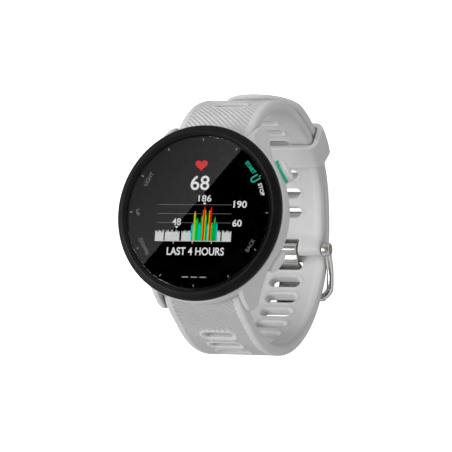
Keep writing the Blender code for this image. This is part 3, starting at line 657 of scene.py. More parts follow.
def flat_strap(name, start, end):
    """Flat sheet of the strap: a fine grid at local Z = 1, a coarser one at 0, and a rim between."""
    step = GROOVE_PITCH * math.sqrt(2) / GROOVE_STEPS
    xs = strap_samples(-STRAP_HALF, STRAP_HALF, step, 0.6)
    ss = strap_samples(start, end, step, 0.6)
    pick_x = coarse_picks(len(xs))
    pick_s = coarse_picks(len(ss))
    top = [(x, s, 1.0) for s in ss for x in xs]
    bottom = [(xs[i], ss[j], 0.0) for j in pick_s for i in pick_x]
    columns, base = len(xs), len(top)
    faces = [[j * columns + i, j * columns + i + 1, (j + 1) * columns + i + 1, (j + 1) * columns + i]
             for j in range(len(ss) - 1) for i in range(columns - 1)]
    low = len(pick_x)
    faces += [[base + j * low + i, base + (j + 1) * low + i, base + (j + 1) * low + i + 1,
               base + j * low + i + 1] for j in range(len(pick_s) - 1) for i in range(low - 1)]
    for j, row in ((0, 0), (len(pick_s) - 1, len(ss) - 1)):
        for k in range(low - 1):
            along = [row * columns + i for i in range(pick_x[k], pick_x[k + 1] + 1)]
            faces.append([base + j * low + k, base + j * low + k + 1] + along[::-1])
    for i, column in ((0, 0), (low - 1, columns - 1)):
        for k in range(len(pick_s) - 1):
            along = [j * columns + column for j in range(pick_s[k], pick_s[k + 1] + 1)]
            faces.append([base + k * low + i, base + (k + 1) * low + i] + along[::-1])
    return mesh_object(name, top + bottom, faces)


def coarse_picks(count):
    """Every sample near both ends, and every second one between."""
    near = 5
    picks = list(range(near)) + list(range(near, count - near, 2))
    return sorted(set(picks + list(range(count - near, count))))


def tapered(x, s, upper, slots):
    """Draw the outer end of each moulded slot in a little, as its walls lean."""
    straight = SLOT_LENGTH / 2 - SLOT_WIDTH / 2
    for place in slots:
        across = np.sign(x) * np.maximum(np.abs(x) - straight, 0.0)
        reach = np.hypot(across, s - place)
        edge = upper & (np.abs(reach - SLOT_WIDTH / 2) < 0.03)
        x = np.where(edge, x - across / np.maximum(reach, 0.1) * SLOT_TAPER, x)
        s = np.where(edge, s - (s - place) / np.maximum(reach, 0.1) * SLOT_TAPER, s)
    return x, s


def bend_strap(obj, shape, slots):
    """Move every point of the flat strap to its place on the loop."""
    count = len(obj.data.vertices)
    flat = np.zeros(count * 3)
    obj.data.vertices.foreach_get("co", flat)
    flat = flat.reshape(-1, 3) / MM
    x, s, upper = flat[:, 0], flat[:, 1], flat[:, 2] > 0.5
    high, low = shape(x, s)
    offset = np.where(upper, high, np.minimum(low, high - 0.02))
    x, s = tapered(x, s, upper, slots)
    y, z = to_loop(s, offset)
    obj.data.vertices.foreach_set("co", (np.stack([x, y, z], 1) * MM).ravel())
    obj.data.update()


def cut_flat(obj, outlines):
    cutters = [slab("cutter", outline, -1.0, 2.0) for outline in outlines]
    return combine(obj, [merged("cutters", cutters)], "DIFFERENCE")


def inner_recess(x, rim):
    """Shallow hollow along the middle of the face against the skin, away from the slots' rims."""
    return RECESS_DEPTH * (1 - smoothstep(np.abs(x), 7.4, 8.4)) * smoothstep(rim, 0.5, 1.1)


def buckle_strap_shape(x, s):
    """Offsets of the outer and the inner face of the 12 o'clock strap."""
    width = STRAP_HALF - (STRAP_HALF - STRAP_END_HALF) * np.clip((s - 72.1) / 3.0, 0.0, 1.0)
    border = width - np.abs(x)
    rim = slot_distance(x, s, BUCKLE_STRAP_SLOTS)
    mask = smoothstep(border, BORDER, BORDER + 0.3) * smoothstep(rim, RIM, RIM + 0.2)
    mask *= 1 - smoothstep(s, 66.0, 67.0)
    notch = np.hypot(np.maximum(np.abs(x) - NOTCH_HALF, 0.0), np.maximum(NOTCH_START - s, 0.0))
    ends = np.minimum(s + KNUCKLE_RADIUS, PIN_PLACE + KNUCKLE_RADIUS - s)
    edge = np.maximum(rounding(border, EDGE_ROUND), rounding(ends, KNUCKLE_RADIUS))
    edge = np.maximum(edge, rounding(notch, 0.35))
    high = -STRAP_SPLIT - np.maximum(edge, rounding(rim, SLOT_ROUND)) - grooves(x, s, mask)
    bulge = eased(s, 0.0, KNUCKLE_TAPER) + eased(s, PIN_PLACE, KNUCKLE_TAPER / 2)
    low = -STRAP_SPLIT - STRAP_THICKNESS - bulge + np.maximum(edge, rounding(rim, SLOT_INNER_ROUND))
    low += inner_recess(x, rim) * (1 - np.clip(bulge * 2, 0, 1))
    return high, low


def tail_strap_shape(x, s):
    """Offsets of the outer and the inner face of the 6 o'clock strap."""
    tip = STRAP_HALF - np.hypot(x, np.minimum(s - TAIL_TIP, 0.0))
    border = np.minimum(STRAP_HALF - np.abs(x), tip)
    rim = slot_distance(x, s, TAIL_SLOTS)
    mask = smoothstep(border, BORDER, BORDER + 0.3) * smoothstep(rim, RIM, RIM + 0.2)
    mask *= smoothstep(s, 70.0, 71.0)
    edge = np.maximum(rounding(border, EDGE_ROUND), rounding(LOOP_LENGTH + KNUCKLE_RADIUS - s,
                                                             KNUCKLE_RADIUS))
    bulge = eased(s, LOOP_LENGTH, KNUCKLE_TAPER)
    bulge -= TIP_THINNING * eased(s, TAIL_TIP - STRAP_HALF, TIP_THINNING_LENGTH)
    high = STRAP_SPLIT + STRAP_THICKNESS + bulge
    high -= np.maximum(edge, rounding(rim, SLOT_ROUND)) + grooves(x, s, mask)
    low = STRAP_SPLIT + np.maximum(edge, rounding(rim, SLOT_INNER_ROUND)) + inner_recess(x, rim)
    return high, low


def bore(y, z, radius):
    return slab("bore", circle(radius, 40), -12.0, 12.0, side_on(y, z))


def slot_outlines(slots):
    return [stadium(SLOT_LENGTH, SLOT_WIDTH, 13, (0.0, place)) for place in slots]


def build_buckle_strap():
    obj = flat_strap("buckle_strap_skin", -KNUCKLE_RADIUS, PIN_PLACE + KNUCKLE_RADIUS)
    end = PIN_PLACE + 4
    outlines = slot_outlines(BUCKLE_STRAP_SLOTS)
    outlines.append(rectangle(-NOTCH_HALF, NOTCH_HALF, NOTCH_START, end))
    for sign in (1, -1):
        corner = [(STRAP_END_HALF, 75.1), (STRAP_END_HALF, end), (12, end), (12, 70), (STRAP_HALF, 72.1)]
        outlines.append([(x * sign, s) for x, s in corner][::sign])
    cut_flat(obj, outlines)
    bend_strap(obj, buckle_strap_shape, BUCKLE_STRAP_SLOTS)
    knuckle = -STRAP_SPLIT - KNUCKLE_RADIUS
    bar, pin = loop_point(0.0, knuckle), loop_point(PIN_PLACE, knuckle)
    combine(obj, [bore(*bar, BAR_HOLE), bore(*pin, PIN_BORE)], "DIFFERENCE")
    finish_piece(obj, "watch", "silicone", ["buckle_strap"])
    sharpen(obj, 55)


def build_tail_strap():
    tip = TAIL_TIP - STRAP_HALF
    obj = flat_strap("tail_strap_skin", tip, LOOP_LENGTH + KNUCKLE_RADIUS)
    outlines = slot_outlines(TAIL_SLOTS)
    arc = circle(STRAP_HALF, 61, 0, -180, (0.0, TAIL_TIP))
    outlines.append([(12, TAIL_TIP)] + arc + [(-12, TAIL_TIP), (-12, tip - 2), (12, tip - 2)])
    cut_flat(obj, outlines)
    bend_strap(obj, tail_strap_shape, [place for place in TAIL_SLOTS if place != TONGUE_SLOT])
    combine(obj, [bore(-BAR_Y, BAR_Z, BAR_HOLE)], "DIFFERENCE")
    finish_piece(obj, "watch", "silicone", ["tail_strap"])
    sharpen(obj, 55)


def build_keeper():
    """Soft-edged band: a closed wall section carried round the two strap layers."""
    inner_half = STRAP_HALF + KEEPER_GAP
    stack = STRAP_SPLIT + STRAP_THICKNESS + KEEPER_GAP
    half_x, half_o = inner_half + KEEPER_WALL / 2, stack + KEEPER_WALL / 2
    corners = [(half_x, half_o), (-half_x, half_o), (-half_x, -half_o), (half_x, -half_o)]
    loop = []
    radius = KEEPER_CORNER
    for k, (cx, cy) in enumerate(corners):
        centre = (cx - math.copysign(radius, cx), cy - math.copysign(radius, cy))
        loop += [(centre, radius, 90 * k + step * 9) for step in range(11)]
    half_length, half_wall = KEEPER_LENGTH / 2, KEEPER_WALL / 2
    section = rounded(rectangle(-half_length, half_length, -half_wall, half_wall), KEEPER_EDGE)
    dense = []
    for k, (t, w) in enumerate(section):
        t2, w2 = section[(k + 1) % len(section)]
        parts = max(1, round(math.hypot(t2 - t, w2 - w) / 0.5))
        dense += [(t + (t2 - t) * n / parts, w + (w2 - w) * n / parts) for n in range(parts)]
    vertices = []
    for (cx, cy), radius, angle in loop:
        nx, ny = math.cos(math.radians(angle)), math.sin(math.radians(angle))
        for t, w in dense:
            crown = KEEPER_CROWN * (1 - (2 * t / KEEPER_LENGTH) ** 2) if w > 0 else 0.0
            reach = radius + w + crown - KEEPER_CROWN * (w > 0)
            x, o = cx + nx * reach, cy + ny * reach
            y, z = to_loop(KEEPER_PLACE + t, o)
            vertices.append((x, float(y), float(z)))
    rows, columns = len(loop), len(dense)
    faces = [[r * columns + c, (r + 1) % rows * columns + c,
              (r + 1) % rows * columns + (c + 1) % columns, r * columns + (c + 1) % columns]
             for r in range(rows) for c in range(columns)]
    obj = mesh_object("keeper_band", vertices, faces)
    finish_piece(obj, "strap_keeper", "silicone", ["keeper"])
    sharpen(obj, 50)


# ---------------------------------------------------------------- case and dial

def lug(x_sign, y_sign):
    """One lug: its plan outline, leaning in towards the dial, crossed with its side outline."""
    plan = [(8.0, 12.2), (14.1, 13.4), (13.2, 16.5), (12.3, 19.0), (11.6, 21.0), (11.0, 21.8),
            (10.2, 22.1), (8.0, 22.1)]
    side = [(12.3, 1.7), (17.0, 1.7), (20.4, 0.7), (21.7, 1.0), (22.1, 2.3), (20.9, 5.0),
            (18.7, 8.3), (12.3, 9.0)]
    side = rounded(side, 1.2)
    body = slab("lug", [(x * x_sign, y * y_sign) for x, y in plan], -1.0, 11.0)
    lean = Matrix.Identity(4)
    lean[0][2] = -LUG_LEAN * x_sign
    lean[0][3] = LUG_LEAN * x_sign * 5 * MM
    body.data.transform(lean)
    middle = (LUG_INNER_X + 10.0) * x_sign
    profile = slab("lug_side", [(y * y_sign, z) for y, z in side], -10.0, 10.0, side_on(x=middle))
    return combine(body, [profile], "INTERSECT")


def knuckle_pocket(y_sign):
    """Room between two lugs for the strap's end."""
    turn = math.radians(LOOP_HEADING)
    ny, nz = math.sin(turn), math.cos(turn)
    room = KNUCKLE_RADIUS + 0.4
    top = math.degrees(math.atan2(nz, ny))
    arc = circle(room, 16, 180, top - 180, (BAR_Y, BAR_Z))
    edge = (arc[-1][0] + 6.0 * nz, arc[-1][1] - 6.0 * ny)
    outline = arc + [edge, (edge[0], -3.0), (BAR_Y - room, -3.0)]
    return slab("pocket", [(y * y_sign, z) for y, z in outline], -LUG_INNER_X, LUG_INNER_X, side_on())


def build_case():
    profile = [(15.0, CASE_TOP), (20.75, CASE_TOP), (CASE_RADIUS, CASE_TOP - 0.5),
               (CASE_RADIUS, CASE_WAIST), (CASE_BOTTOM_RADIUS, CASE_BOTTOM), (15.0, CASE_BOTTOM)]
    case = lathe("case_shell", profile, 180, ring=True)
    combine(case, [lug(x, y) for x in (1, -1) for y in (1, -1)], "UNION")
    combine(case, [slab("cavity", circle(CAVITY_RADIUS, 120), CAVITY_FLOOR, CASE_TOP + 1.0)], "DIFFERENCE")
    combine(case, [slab("cover_room", flatted_circle(*COVER_ROOM), 0.0, COVER_ROOM_TOP)], "DIFFERENCE")
    combine(case, [knuckle_pocket(1), knuckle_pocket(-1)], "DIFFERENCE")
    for y_sign in (1, -1):
        bores = slab("bar_bore", circle(SPRING_BAR_HOLE, 24), -12.0, 12.0, side_on(BAR_Y * y_sign, BAR_Z))
        combine(case, [bores], "DIFFERENCE")
    for angle, _ in BUTTONS.values():
        outline = oval(CAP_REACH[0] + RECESS_GAP, CAP_REACH[1] + RECESS_GAP)
        room = slab("recess", outline, 0.0, 4.0, radial(angle, RECESS_FLOOR, BUTTON_HEIGHT))
        combine(case, [room], "DIFFERENCE")
    groove = collar_outline(0.0, RECESS_GAP + COLLAR_WIDTH + 0.06, COLLAR_REACH + 3.0)
    room = slab("collar_room", groove, COLLAR_BASE - 0.1, 23.0,
                radial(BUTTONS["start"][0], 0.0, BUTTON_HEIGHT))
    combine(case, [room], "DIFFERENCE")
    softened(case, CASE_VOXEL, 3, 0.45)
    finish_piece(case, "watch", "case_polymer", ["case"])


def flatted_circle(radius, flat, count=40):
    """Circle cut off by straight lines at y = +flat and y = -flat."""
    reach = math.degrees(math.asin(flat / radius))
    return circle(radius, count, -reach, 2 * reach) + circle(radius, count, 180 - reach, 2 * reach)


def collar_outline(low, high, reach):
    """Upper part of an oval ring round the start button."""
    start = 90 - reach
    outer = oval(CAP_REACH[0] + high, CAP_REACH[1] + high, 41, start, 2 * reach)
    inner = oval(CAP_REACH[0] + low, CAP_REACH[1] + low, 41, start, 2 * reach)
    return outer + inner[::-1]


def build_collar():
    outline = collar_outline(RECESS_GAP, RECESS_GAP + COLLAR_WIDTH, COLLAR_REACH)
    collar = slab("start_collar_insert", outline, COLLAR_BASE, COLLAR_FACE,
                  radial(BUTTONS["start"][0], 0.0, BUTTON_HEIGHT), 0.16, 3)
    finish_piece(collar, "watch", "accent_green", ["start_collar"])
    sharpen(collar)


def build_button(name, angle, face):
    """Oval cap with a softly rounded edge, and the stem behind it."""
    place = radial(angle, 0.0, BUTTON_HEIGHT)
    rows = [(1.0, CAP_BACK)]
    for step in range(9):
        turn = math.radians(11.25 * step)
        rows.append((1 - CAP_ROUND * (1 - math.cos(turn)) / 2.1,
                     face - CAP_ROUND + CAP_ROUND * math.sin(turn) - 0.1))
    rows += [(0.62, face - 0.05), (0.35, face - 0.01), (0.12, face)]
    count = 72
    vertices = []
    for scale, height in rows:
        vertices += [(x * scale, y * scale, height) for x, y in oval(*CAP_REACH, count)]
    faces = [list(range(count))[::-1], list(range((len(rows) - 1) * count, len(rows) * count))]
    faces += [[r * count + k, r * count + (k + 1) % count, (r + 1) * count + (k + 1) % count,
               (r + 1) * count + k] for r in range(len(rows) - 1) for k in range(count)]
    cap = mesh_object(f"{name}_cap", vertices, faces)
    cap.data.transform(place)
    stem = slab("stem", circle(STEM_RADIUS, 24), STEM_BACK, CAP_BACK + 0.4, place)
    combine(cap, [stem], "UNION")
    finish_piece(cap, f"{name}_push", "cap_polymer", [f"{name}_button"])
    sharpen(cap, 40)


def build_bezel():
    profile = [(18.75, 11.1), (19.15, BEZEL_TOP), (19.5, BEZEL_TOP), (20.75, 10.95),
               (BEZEL_RADIUS, 10.55), (BEZEL_RADIUS, 9.6), (18.45, 9.6), (18.45, 10.9)]
    bezel = lathe("bezel_ring", rounded(profile, 0.22, 4), 240, ring=True)
    finish_piece(bezel, "watch", "bezel_black", ["bezel"])
    sharpen(bezel, 30)


def build_lens():
    """Clear plate over the black printed disc that carries the dial's marks."""
    low = PRINT_TOP + 0.06
    rim = rounded([(LENS_RADIUS - 1.0, LENS_TOP), (LENS_RADIUS, LENS_TOP), (LENS_RADIUS, low),
                   (LENS_RADIUS - 1.0, low)], 0.12, 4, closed=False)
    edge = [(0.0, LENS_TOP), (LENS_RADIUS - 1.2, LENS_TOP)] + rim
    edge += [(LENS_RADIUS - 1.2, low), (0.0, low)]
    plate = lathe("lens_plate", edge, 240)
    finish_piece(plate, "watch", "glass", ["lens"])
    plate.data.shade_flat()
    plate.data.materials.append(MATERIALS["window_black"])
    for face in plate.data.polygons:
        if abs(face.normal.z) < 0.98:
            face.material_index = 1
    disc = lathe("dial_print", [(0.0, PRINT_TOP), (LENS_RADIUS, PRINT_TOP), (LENS_RADIUS, 9.72),
                                (0.0, 9.72)], 180)
    finish_piece(disc, "watch", "dial_black")
    sharpen(disc, 30)
    screen = lathe("display_area", [(0.0, PRINT_TOP + 0.012), (DISPLAY_RADIUS, PRINT_TOP + 0.012),
                                    (DISPLAY_RADIUS, PRINT_TOP - 0.1), (0.0, PRINT_TOP - 0.1)], 120)
    finish_piece(screen, "watch", "display_off")
    sharpen(screen, 30)


# ---------------------------------------------------------------- what the dial shows

INK_BOTTOM = PRINT_TOP + 0.013
INK_TOP = PRINT_TOP + 0.03

# Words round the dial: text, angle, radius, size, tops outwards (1) or inwards (-1), ink, weight
LABELS = {
    "label_light": ("LIGHT", 149.3, 15.65, (3.5, 1.0), 1, "ink_label", 0.0),
    "label_up": ("UP", 180.2, 15.7, (1.55, 0.95), -1, "ink_label", 0.0),
    "label_down": ("DOWN", 211.4, 15.8, (4.3, 1.0), -1, "ink_label", 0.0),
    "label_back": ("BACK", -29.2, 15.8, (3.3, 1.0), -1, "ink_label", 0.0),
    "label_start": ("START", 40.4, 16.55, (3.6, 1.0), 1, "ink_green", 0.03),
    "label_stop": ("STOP", 19.4, 16.6, (3.1, 1.0), 1, "ink_white", 0.03),
}
HOOK_ANGLE = 30.2
HOOK_RADIUS = 15.6
# Figures and words of the display: text, centre, size, weight
READINGS = {
    "rate_now": ("68", (-0.05, 7.08), (4.8, 3.5), 0.012),
    "rate_high": ("186", (1.5, 3.37), (3.3, 1.6), 0.01),
    "scale_high": ("190", (10.58, 1.96), (3.4, 1.68), 0.02),
    "scale_low": ("60", (10.1, -2.5), (2.35, 1.68), 0.02),
    "rate_low": ("48", (-5.42, -2.25), (2.25, 1.66), 0.01),
    "span_words": ("LAST 4 HOURS", (-0.1, -9.27), (14.7, 1.9), 0.02),
}
GRAPH_BASE = -6.8
BAR_STEP = 0.17
GRAPH_ENDS = (-10.75, 8.75)
RUN_ENDS = (-1.6, 5.1)
REST_GAPS = [(-8.55, -8.2), (-6.4, -6.3), (-4.5, -4.0), (6.15, 6.5)]


def ink(name, outlines, material):
    """Flat printed shapes on the dial."""
    shapes = [slab("shape", outline, INK_BOTTOM, INK_TOP) for outline in outlines]
    piece = merged(name, shapes)
    finish_piece(piece, "watch", material)
    sharpen(piece)


def turned(points, angle, centre):
    turn = math.radians(angle)
    c, s = math.cos(turn), math.sin(turn)
    return [(centre[0] + x * c - y * s, centre[1] + x * s + y * c) for x, y in points]


def lettering(name, text, centre, width, height, material, angle=0.0, weight=0.0):
    """Plain lettering fitted to a width and a capital height, about its own centre."""
    curve = bpy.data.curves.new(name, "FONT")
    curve.body = text
    curve.offset = weight
    curve.resolution_u = 4
    curve.extrude = 0.01
    guide = linked(name, curve)
    graph = bpy.context.evaluated_depsgraph_get()
    mesh = bpy.data.meshes.new_from_object(guide.evaluated_get(graph))
    bpy.data.objects.remove(guide, do_unlink=True)
    count = len(mesh.vertices)
    points = np.zeros(count * 3)
    mesh.vertices.foreach_get("co", points)
    points = points.reshape(-1, 3)
    low, high = points.min(0), points.max(0)
    x = (points[:, 0] - (low[0] + high[0]) / 2) / (high[0] - low[0]) * width
    y = (points[:, 1] - (low[1] + high[1]) / 2) / (high[1] - low[1]) * height
    turn = math.radians(angle)
    placed = np.stack([centre[0] + x * math.cos(turn) - y * math.sin(turn),
                       centre[1] + x * math.sin(turn) + y * math.cos(turn),
                       np.where(points[:, 2] > 0, INK_TOP, INK_BOTTOM)], 1)
    mesh.vertices.foreach_set("co", (placed * MM).ravel())
    cleaned(mesh, SHORTEST_EDGE)
    piece = linked(name, mesh)
    finish_piece(piece, "watch", material)
    sharpen(piece)


def heart(centre, width, height):
    points = []
    for k in range(60):
        t = 2 * math.pi * k / 60
        x = 16 * math.sin(t) ** 3
        y = 13 * math.cos(t) - 5 * math.cos(2 * t) - 2 * math.cos(3 * t) - math.cos(4 * t)
        points.append((centre[0] + x / 32 * width, centre[1] + (y + 2.5) / 29 * height))
    return points[::-1]


def thick_path(points, thickness):
    """Outline of a bent line that follows the points."""
    left, right = [], []
    for k, point in enumerate(points):
        before = Vector(points[max(k - 1, 0)])
        after = Vector(points[min(k + 1, len(points) - 1)])
        along = (after - before).normalized()
        side = Vector((-along.y, along.x)) * thickness / 2
        left.append(tuple(Vector(point) + side))
        right.append(tuple(Vector(point) - side))
    return right + left[::-1]


def build_hour_marks():
    marks = []
    for hour in range(12):
        angle = 30 * hour
        marks.append(turned(stadium(*HOUR_MARK_SIZE, 7), angle, polar(HOUR_MARK_RADIUS, angle)))
    ink("hour_marks", marks, "ink_grey")


def build_labels():
    for name, (text, angle, radius, size, facing, material, weight) in LABELS.items():
        lettering(name, text, polar(radius, angle), *size, material, angle - 90 * facing, weight)
    bottom = circle(0.55, 15, 90, 180)
    hook = [(1.55, 0.55)] + bottom + [(1.75, -0.55)]
    outline = turned(thick_path(hook, 0.34), HOOK_ANGLE, polar(HOOK_RADIUS, HOOK_ANGLE))
    ink("start_hook", [outline], "ink_green")
    ink("lower_mark", [turned(stadium(1.7, 0.26, 7), 0, (x, -15.4)) for x in (-2.3, 0.0, 2.3)],
        "ink_grey")


def build_readings():
    ink("heart_mark", [heart((0.0, 11.15), 3.15, 2.6)], "ink_red")
    for name, (text, centre, size, weight) in READINGS.items():
        lettering(name, text, centre, *size, "ink_white", weight=weight)
    pointer = [(-0.45, 0.25), (0.0, -0.3), (0.45, 0.25)]
    ink("pointers", [turned(pointer[::-1], 0, place) for place in ((1.48, 2.05), (-5.32, -3.54))],
        "ink_white")
    ink("scale_lines", [rectangle(-10.5, 8.5, y - 0.07, y + 0.07) for y in (1.84, -0.3, -2.46)], "ink_line")
    ticks = [rectangle(x - 0.08, x + 0.08, -7.45, -6.9) for x in (-5.91, -1.01, 3.89)]
    ink("time_ticks", ticks + [rectangle(-10.77, 8.8, -6.92, -6.8)], "ink_bars")


def build_graph():
    """Bars of the last hours: grey at rest, coloured where the wearer ran."""
    base, step = GRAPH_BASE, BAR_STEP
    grey = []
    for k in range(round((GRAPH_ENDS[1] - GRAPH_ENDS[0]) / step)):
        x = GRAPH_ENDS[0] + k * step
        resting = not RUN_ENDS[0] < x < RUN_ENDS[1]
        if not resting or any(low < x + step / 2 < high for low, high in REST_GAPS):
            continue
        top = -4.55 + 0.22 * math.sin(2.7 * k) + 0.18 * math.sin(5.3 * k + 1.0)
        grey.append(rectangle(x, x + step * 0.98, base, top))
    ink("resting_bars", grey, "ink_bars")
    zones = {
        "bar_cyan": [(-1.55, -1.0, -2.6), (0.25, 0.85, -2.45), (2.45, 2.8, -2.7), (4.75, 5.17, -2.5)],
        "bar_green": [(-0.55, 0.25, -1.3), (0.85, 1.25, -0.7), (2.0, 2.3, -0.5), (3.55, 4.1, -2.3),
                      (4.3, 4.55, -1.0)],
        "bar_deep_green": [(0.0, 0.2, -1.6), (2.3, 2.45, -1.2), (4.1, 4.3, -1.4), (4.55, 4.75, -1.9)],
        "bar_yellow": [(-1.0, -0.55, 0.25), (1.85, 2.0, 0.6), (2.8, 3.05, 0.5)],
        "bar_orange": [(1.25, 1.45, 0.6)],
        "bar_red": [(1.45, 1.85, 1.5), (3.05, 3.55, 1.35)],
    }
    for material, bars in zones.items():
        outlines = []
        for x0, x1, top in bars:
            crest = min(0.9, (x1 - x0) * 1.5)
            outlines.append([(x0, base), (x1, base), (x1, top - crest), ((x0 + x1) / 2 + 0.04, top),
                             ((x0 + x1) / 2 - 0.04, top), (x0, top - crest)])
        ink(f"running_{material}", outlines, material)


# ---------------------------------------------------------------- buckle

def smooth_route(points, steps=6):
    """Catmull-Rom curve through the points."""
    points = [Vector(p) for p in points]
    route = []
    for k in range(len(points) - 1):
        p0, p1 = points[max(k - 1, 0)], points[k]
        p2, p3 = points[k + 1], points[min(k + 2, len(points) - 1)]
        for step in range(steps):
            t = step / steps
            route.append(0.5 * ((2 * p1) + (p2 - p0) * t + (2 * p0 - 5 * p1 + 4 * p2 - p3) * t * t
                                + (3 * p1 - p0 - 3 * p2 + p3) * t ** 3))
    route.append(points[-1])
    return route


def wire(name, route, radius, count=20):
    """Round wire along a route, its ends closed."""
    vertices, faces = [], []
    side = None
    for k, point in enumerate(route):
        along = (route[min(k + 1, len(route) - 1)] - route[max(k - 1, 0)]).normalized()
        if side is None:
            side = along.orthogonal().normalized()
        side = (side - along * side.dot(along)).normalized()
        across = along.cross(side)
        for n in range(count):
            turn = 2 * math.pi * n / count
            vertices.append(tuple(point + side * radius * math.cos(turn)
                                  + across * radius * math.sin(turn)))
    last = (len(route) - 1) * count
    faces += [list(range(count))[::-1], list(range(last, last + count))]
    faces += [[k * count + n, k * count + (n + 1) % count, (k + 1) * count + (n + 1) % count,
               (k + 1) * count + n] for k in range(len(route) - 1) for n in range(count)]
    return mesh_object(name, vertices, faces)


def rod(name, radius, low, high, y, z, bevel=0.12):
    return slab(name, circle(radius, 48), low, high, side_on(y, z), bevel, 3)


def build_buckle():
    pin_y, pin_z = loop_point(PIN_PLACE, -STRAP_SPLIT - KNUCKLE_RADIUS)
    pin = rod("buckle_pin_rod", PIN_RADIUS, -PIN_END_X, PIN_END_X, pin_y, pin_z, 0.15)
    finish_piece(pin, "buckle", "gold_plate", ["buckle_pin"])
    sharpen(pin)
    build_frame(pin_y, pin_z)
    build_tongue(pin_y, pin_z)


def build_frame(pin_y, pin_z):
    """Ears round the pin, two arms beside the tail strap, and the front bar outside it."""
    bar_offset = STRAP_SPLIT + STRAP_THICKNESS + 0.3 + FRAME_WIRE
    arm = [(pin_y, pin_z), loop_point(PIN_PLACE + 2.6, 0.1), loop_point(83.0, 2.1),
           loop_point(85.9, 3.5)]
    bar_y, bar_z = loop_point(FRONT_BAR_PLACE, bar_offset)
    corner = 2.6
    half = [(FRAME_X, y, z) for y, z in arm]
    for degrees in (22.5, 45, 67.5, 90):
        turn = math.radians(degrees)
        half.append((FRAME_X - corner * (1 - math.cos(turn)),
                     arm[-1][0] + (bar_y - arm[-1][0]) * math.sin(turn),
                     arm[-1][1] + (bar_z - arm[-1][1]) * math.sin(turn)))
    points = half + [(-x, y, z) for x, y, z in reversed(half)]
    frame_wire = wire("buckle_loop", smooth_route(points), FRAME_WIRE, 28)
    limits = (EAR_INNER_X, FRAME_X + FRAME_WIRE)
    ears = [rod("ear", EAR_RADIUS, *limits, pin_y, pin_z, 0.3),
            rod("ear", EAR_RADIUS, -limits[1], -limits[0], pin_y, pin_z, 0.3)]
    combine(frame_wire, ears, "UNION")
    combine(frame_wire, [rod("bore", PIN_BORE, -14, 14, pin_y, pin_z, 0.0)], "DIFFERENCE")
    heading = heading_at(FRONT_BAR_PLACE)
    ny, nz = math.sin(heading), math.cos(heading)
    seat = frame_matrix((1, 0, 0), (0, nz, -ny), (0, ny, nz), (0, bar_y, bar_z))
    rest = slab("rest", rectangle(-TONGUE_HALF - 0.3, TONGUE_HALF + 0.3, -3.0, 3.0), 0.35, 3.0, seat)
    combine(frame_wire, [rest], "DIFFERENCE")
    finish_piece(frame_wire, "buckle", "steel", ["buckle_frame"])
    sharpen(frame_wire, 40)


def build_tongue(pin_y, pin_z):
    """Tongue: a ring round the pin, and a blade through the tail's slot onto the front bar."""
    route = [(PIN_PLACE + 0.9, -1.7), (TONGUE_SLOT - 1.3, -1.3), (TONGUE_SLOT - 0.6, -0.9),
             (TONGUE_SLOT - 0.1, 0.2), (TONGUE_SLOT + 0.2, 1.9), (TONGUE_SLOT + 0.8, 3.1),
             (83.4, 3.75), (85.0, 4.25), (FRONT_BAR_PLACE, 4.95), (89.6, 5.05)]
    points = [(0.0,) + loop_point(s, offset) for s, offset in route]
    dense = [(p.y, p.z) for p in smooth_route(points, 5)]
    blade = slab("buckle_prong", thick_path(dense, TONGUE_THICKNESS), -TONGUE_HALF, TONGUE_HALF,
                 side_on(), 0.28, 3)
    ring = rod("ring", EAR_RADIUS, -TONGUE_HALF, TONGUE_HALF, pin_y, pin_z, 0.25)
    combine(blade, [ring], "UNION")
    combine(blade, [rod("bore", PIN_BORE, -6, 6, pin_y, pin_z, 0.0)], "DIFFERENCE")
    finish_piece(blade, "tongue", "steel", ["buckle_tongue"])
    sharpen(blade, 40)


# ---------------------------------------------------------------- back

def build_back():
    cover = slab("rear_plate", flatted_circle(*COVER_SIZE, 60), 1.3, 2.4, bevel=0.18)
    window_room = slab("room", circle(SENSOR_HOLE, 96), 0.0, 3.0)
    port_room = slab("room", stadium(*PORT_SIZE, 17, (0, PORT_Y)), 0.0, 3.0)
    screw_rooms = []
    for angle in SCREW_TURNS:
        centre = polar(SCREW_CIRCLE, angle)
        screw_rooms.append(slab("room", circle(SCREW_HEAD_ROOM, 32, centre=centre), 0.0, 1.9))
        screw_rooms.append(slab("room", circle(SCREW_HOLE, 24, centre=centre), 1.0, 3.0))
    combine(cover, [window_room, port_room] + screw_rooms, "DIFFERENCE")
    finish_piece(cover, "watch", "case_polymer", ["rear_cover"])
    sharpen(cover)
    profile = [(0.0, 0.0), (8.2, 0.0), (9.6, 0.28), (10.6, 0.95), (10.6, 1.1), (8.3, 1.1), (8.3, 2.0),
               (0.0, 2.0)]
    window = lathe("sensor_glass", rounded(profile, 0.25, 4, closed=False), 144)
    finish_piece(window, "watch", "window_black", ["sensor_window"])
    sharpen(window)
    square = rounded(rectangle(-LED_HALF, LED_HALF, -LED_HALF, LED_HALF), LED_CORNER)
    lights = [turned(square, 0, place) for place in LED_PLACES]
    leds = merged("sensor_lights", [slab("led", outline[::-1], -0.012, 0.1) for outline in lights])
    finish_piece(leds, "watch", "led_window")
    sharpen(leds)


# ---------------------------------------------------------------- carried-over pieces

def dress_cad_nodes():
    """Every CAD node that still shows gets the node material of its own slot."""
    slots = {part["node"]: part["material_slot"] for part in frame["record"]["subparts"]}
    for name, obj in frame["nodes"].items():
        obj.data.materials.clear()
        obj.data.materials.append(MATERIALS[slots[name]])


# ---------------------------------------------------------------- studio

# Each light's place and size in metres, and its power in watts
LIGHTS = {
    "key": ((-0.55, -0.15, 0.60), (0.4, 0.4), 4.2),
    "top": ((0.05, 0.55, 0.75), (0.4, 0.3), 2.6),
    "fill": ((0.75, -0.15, 0.25), (0.5, 0.5), 1.4),
}
LIGHT_TARGET = (0, 0, -0.015)
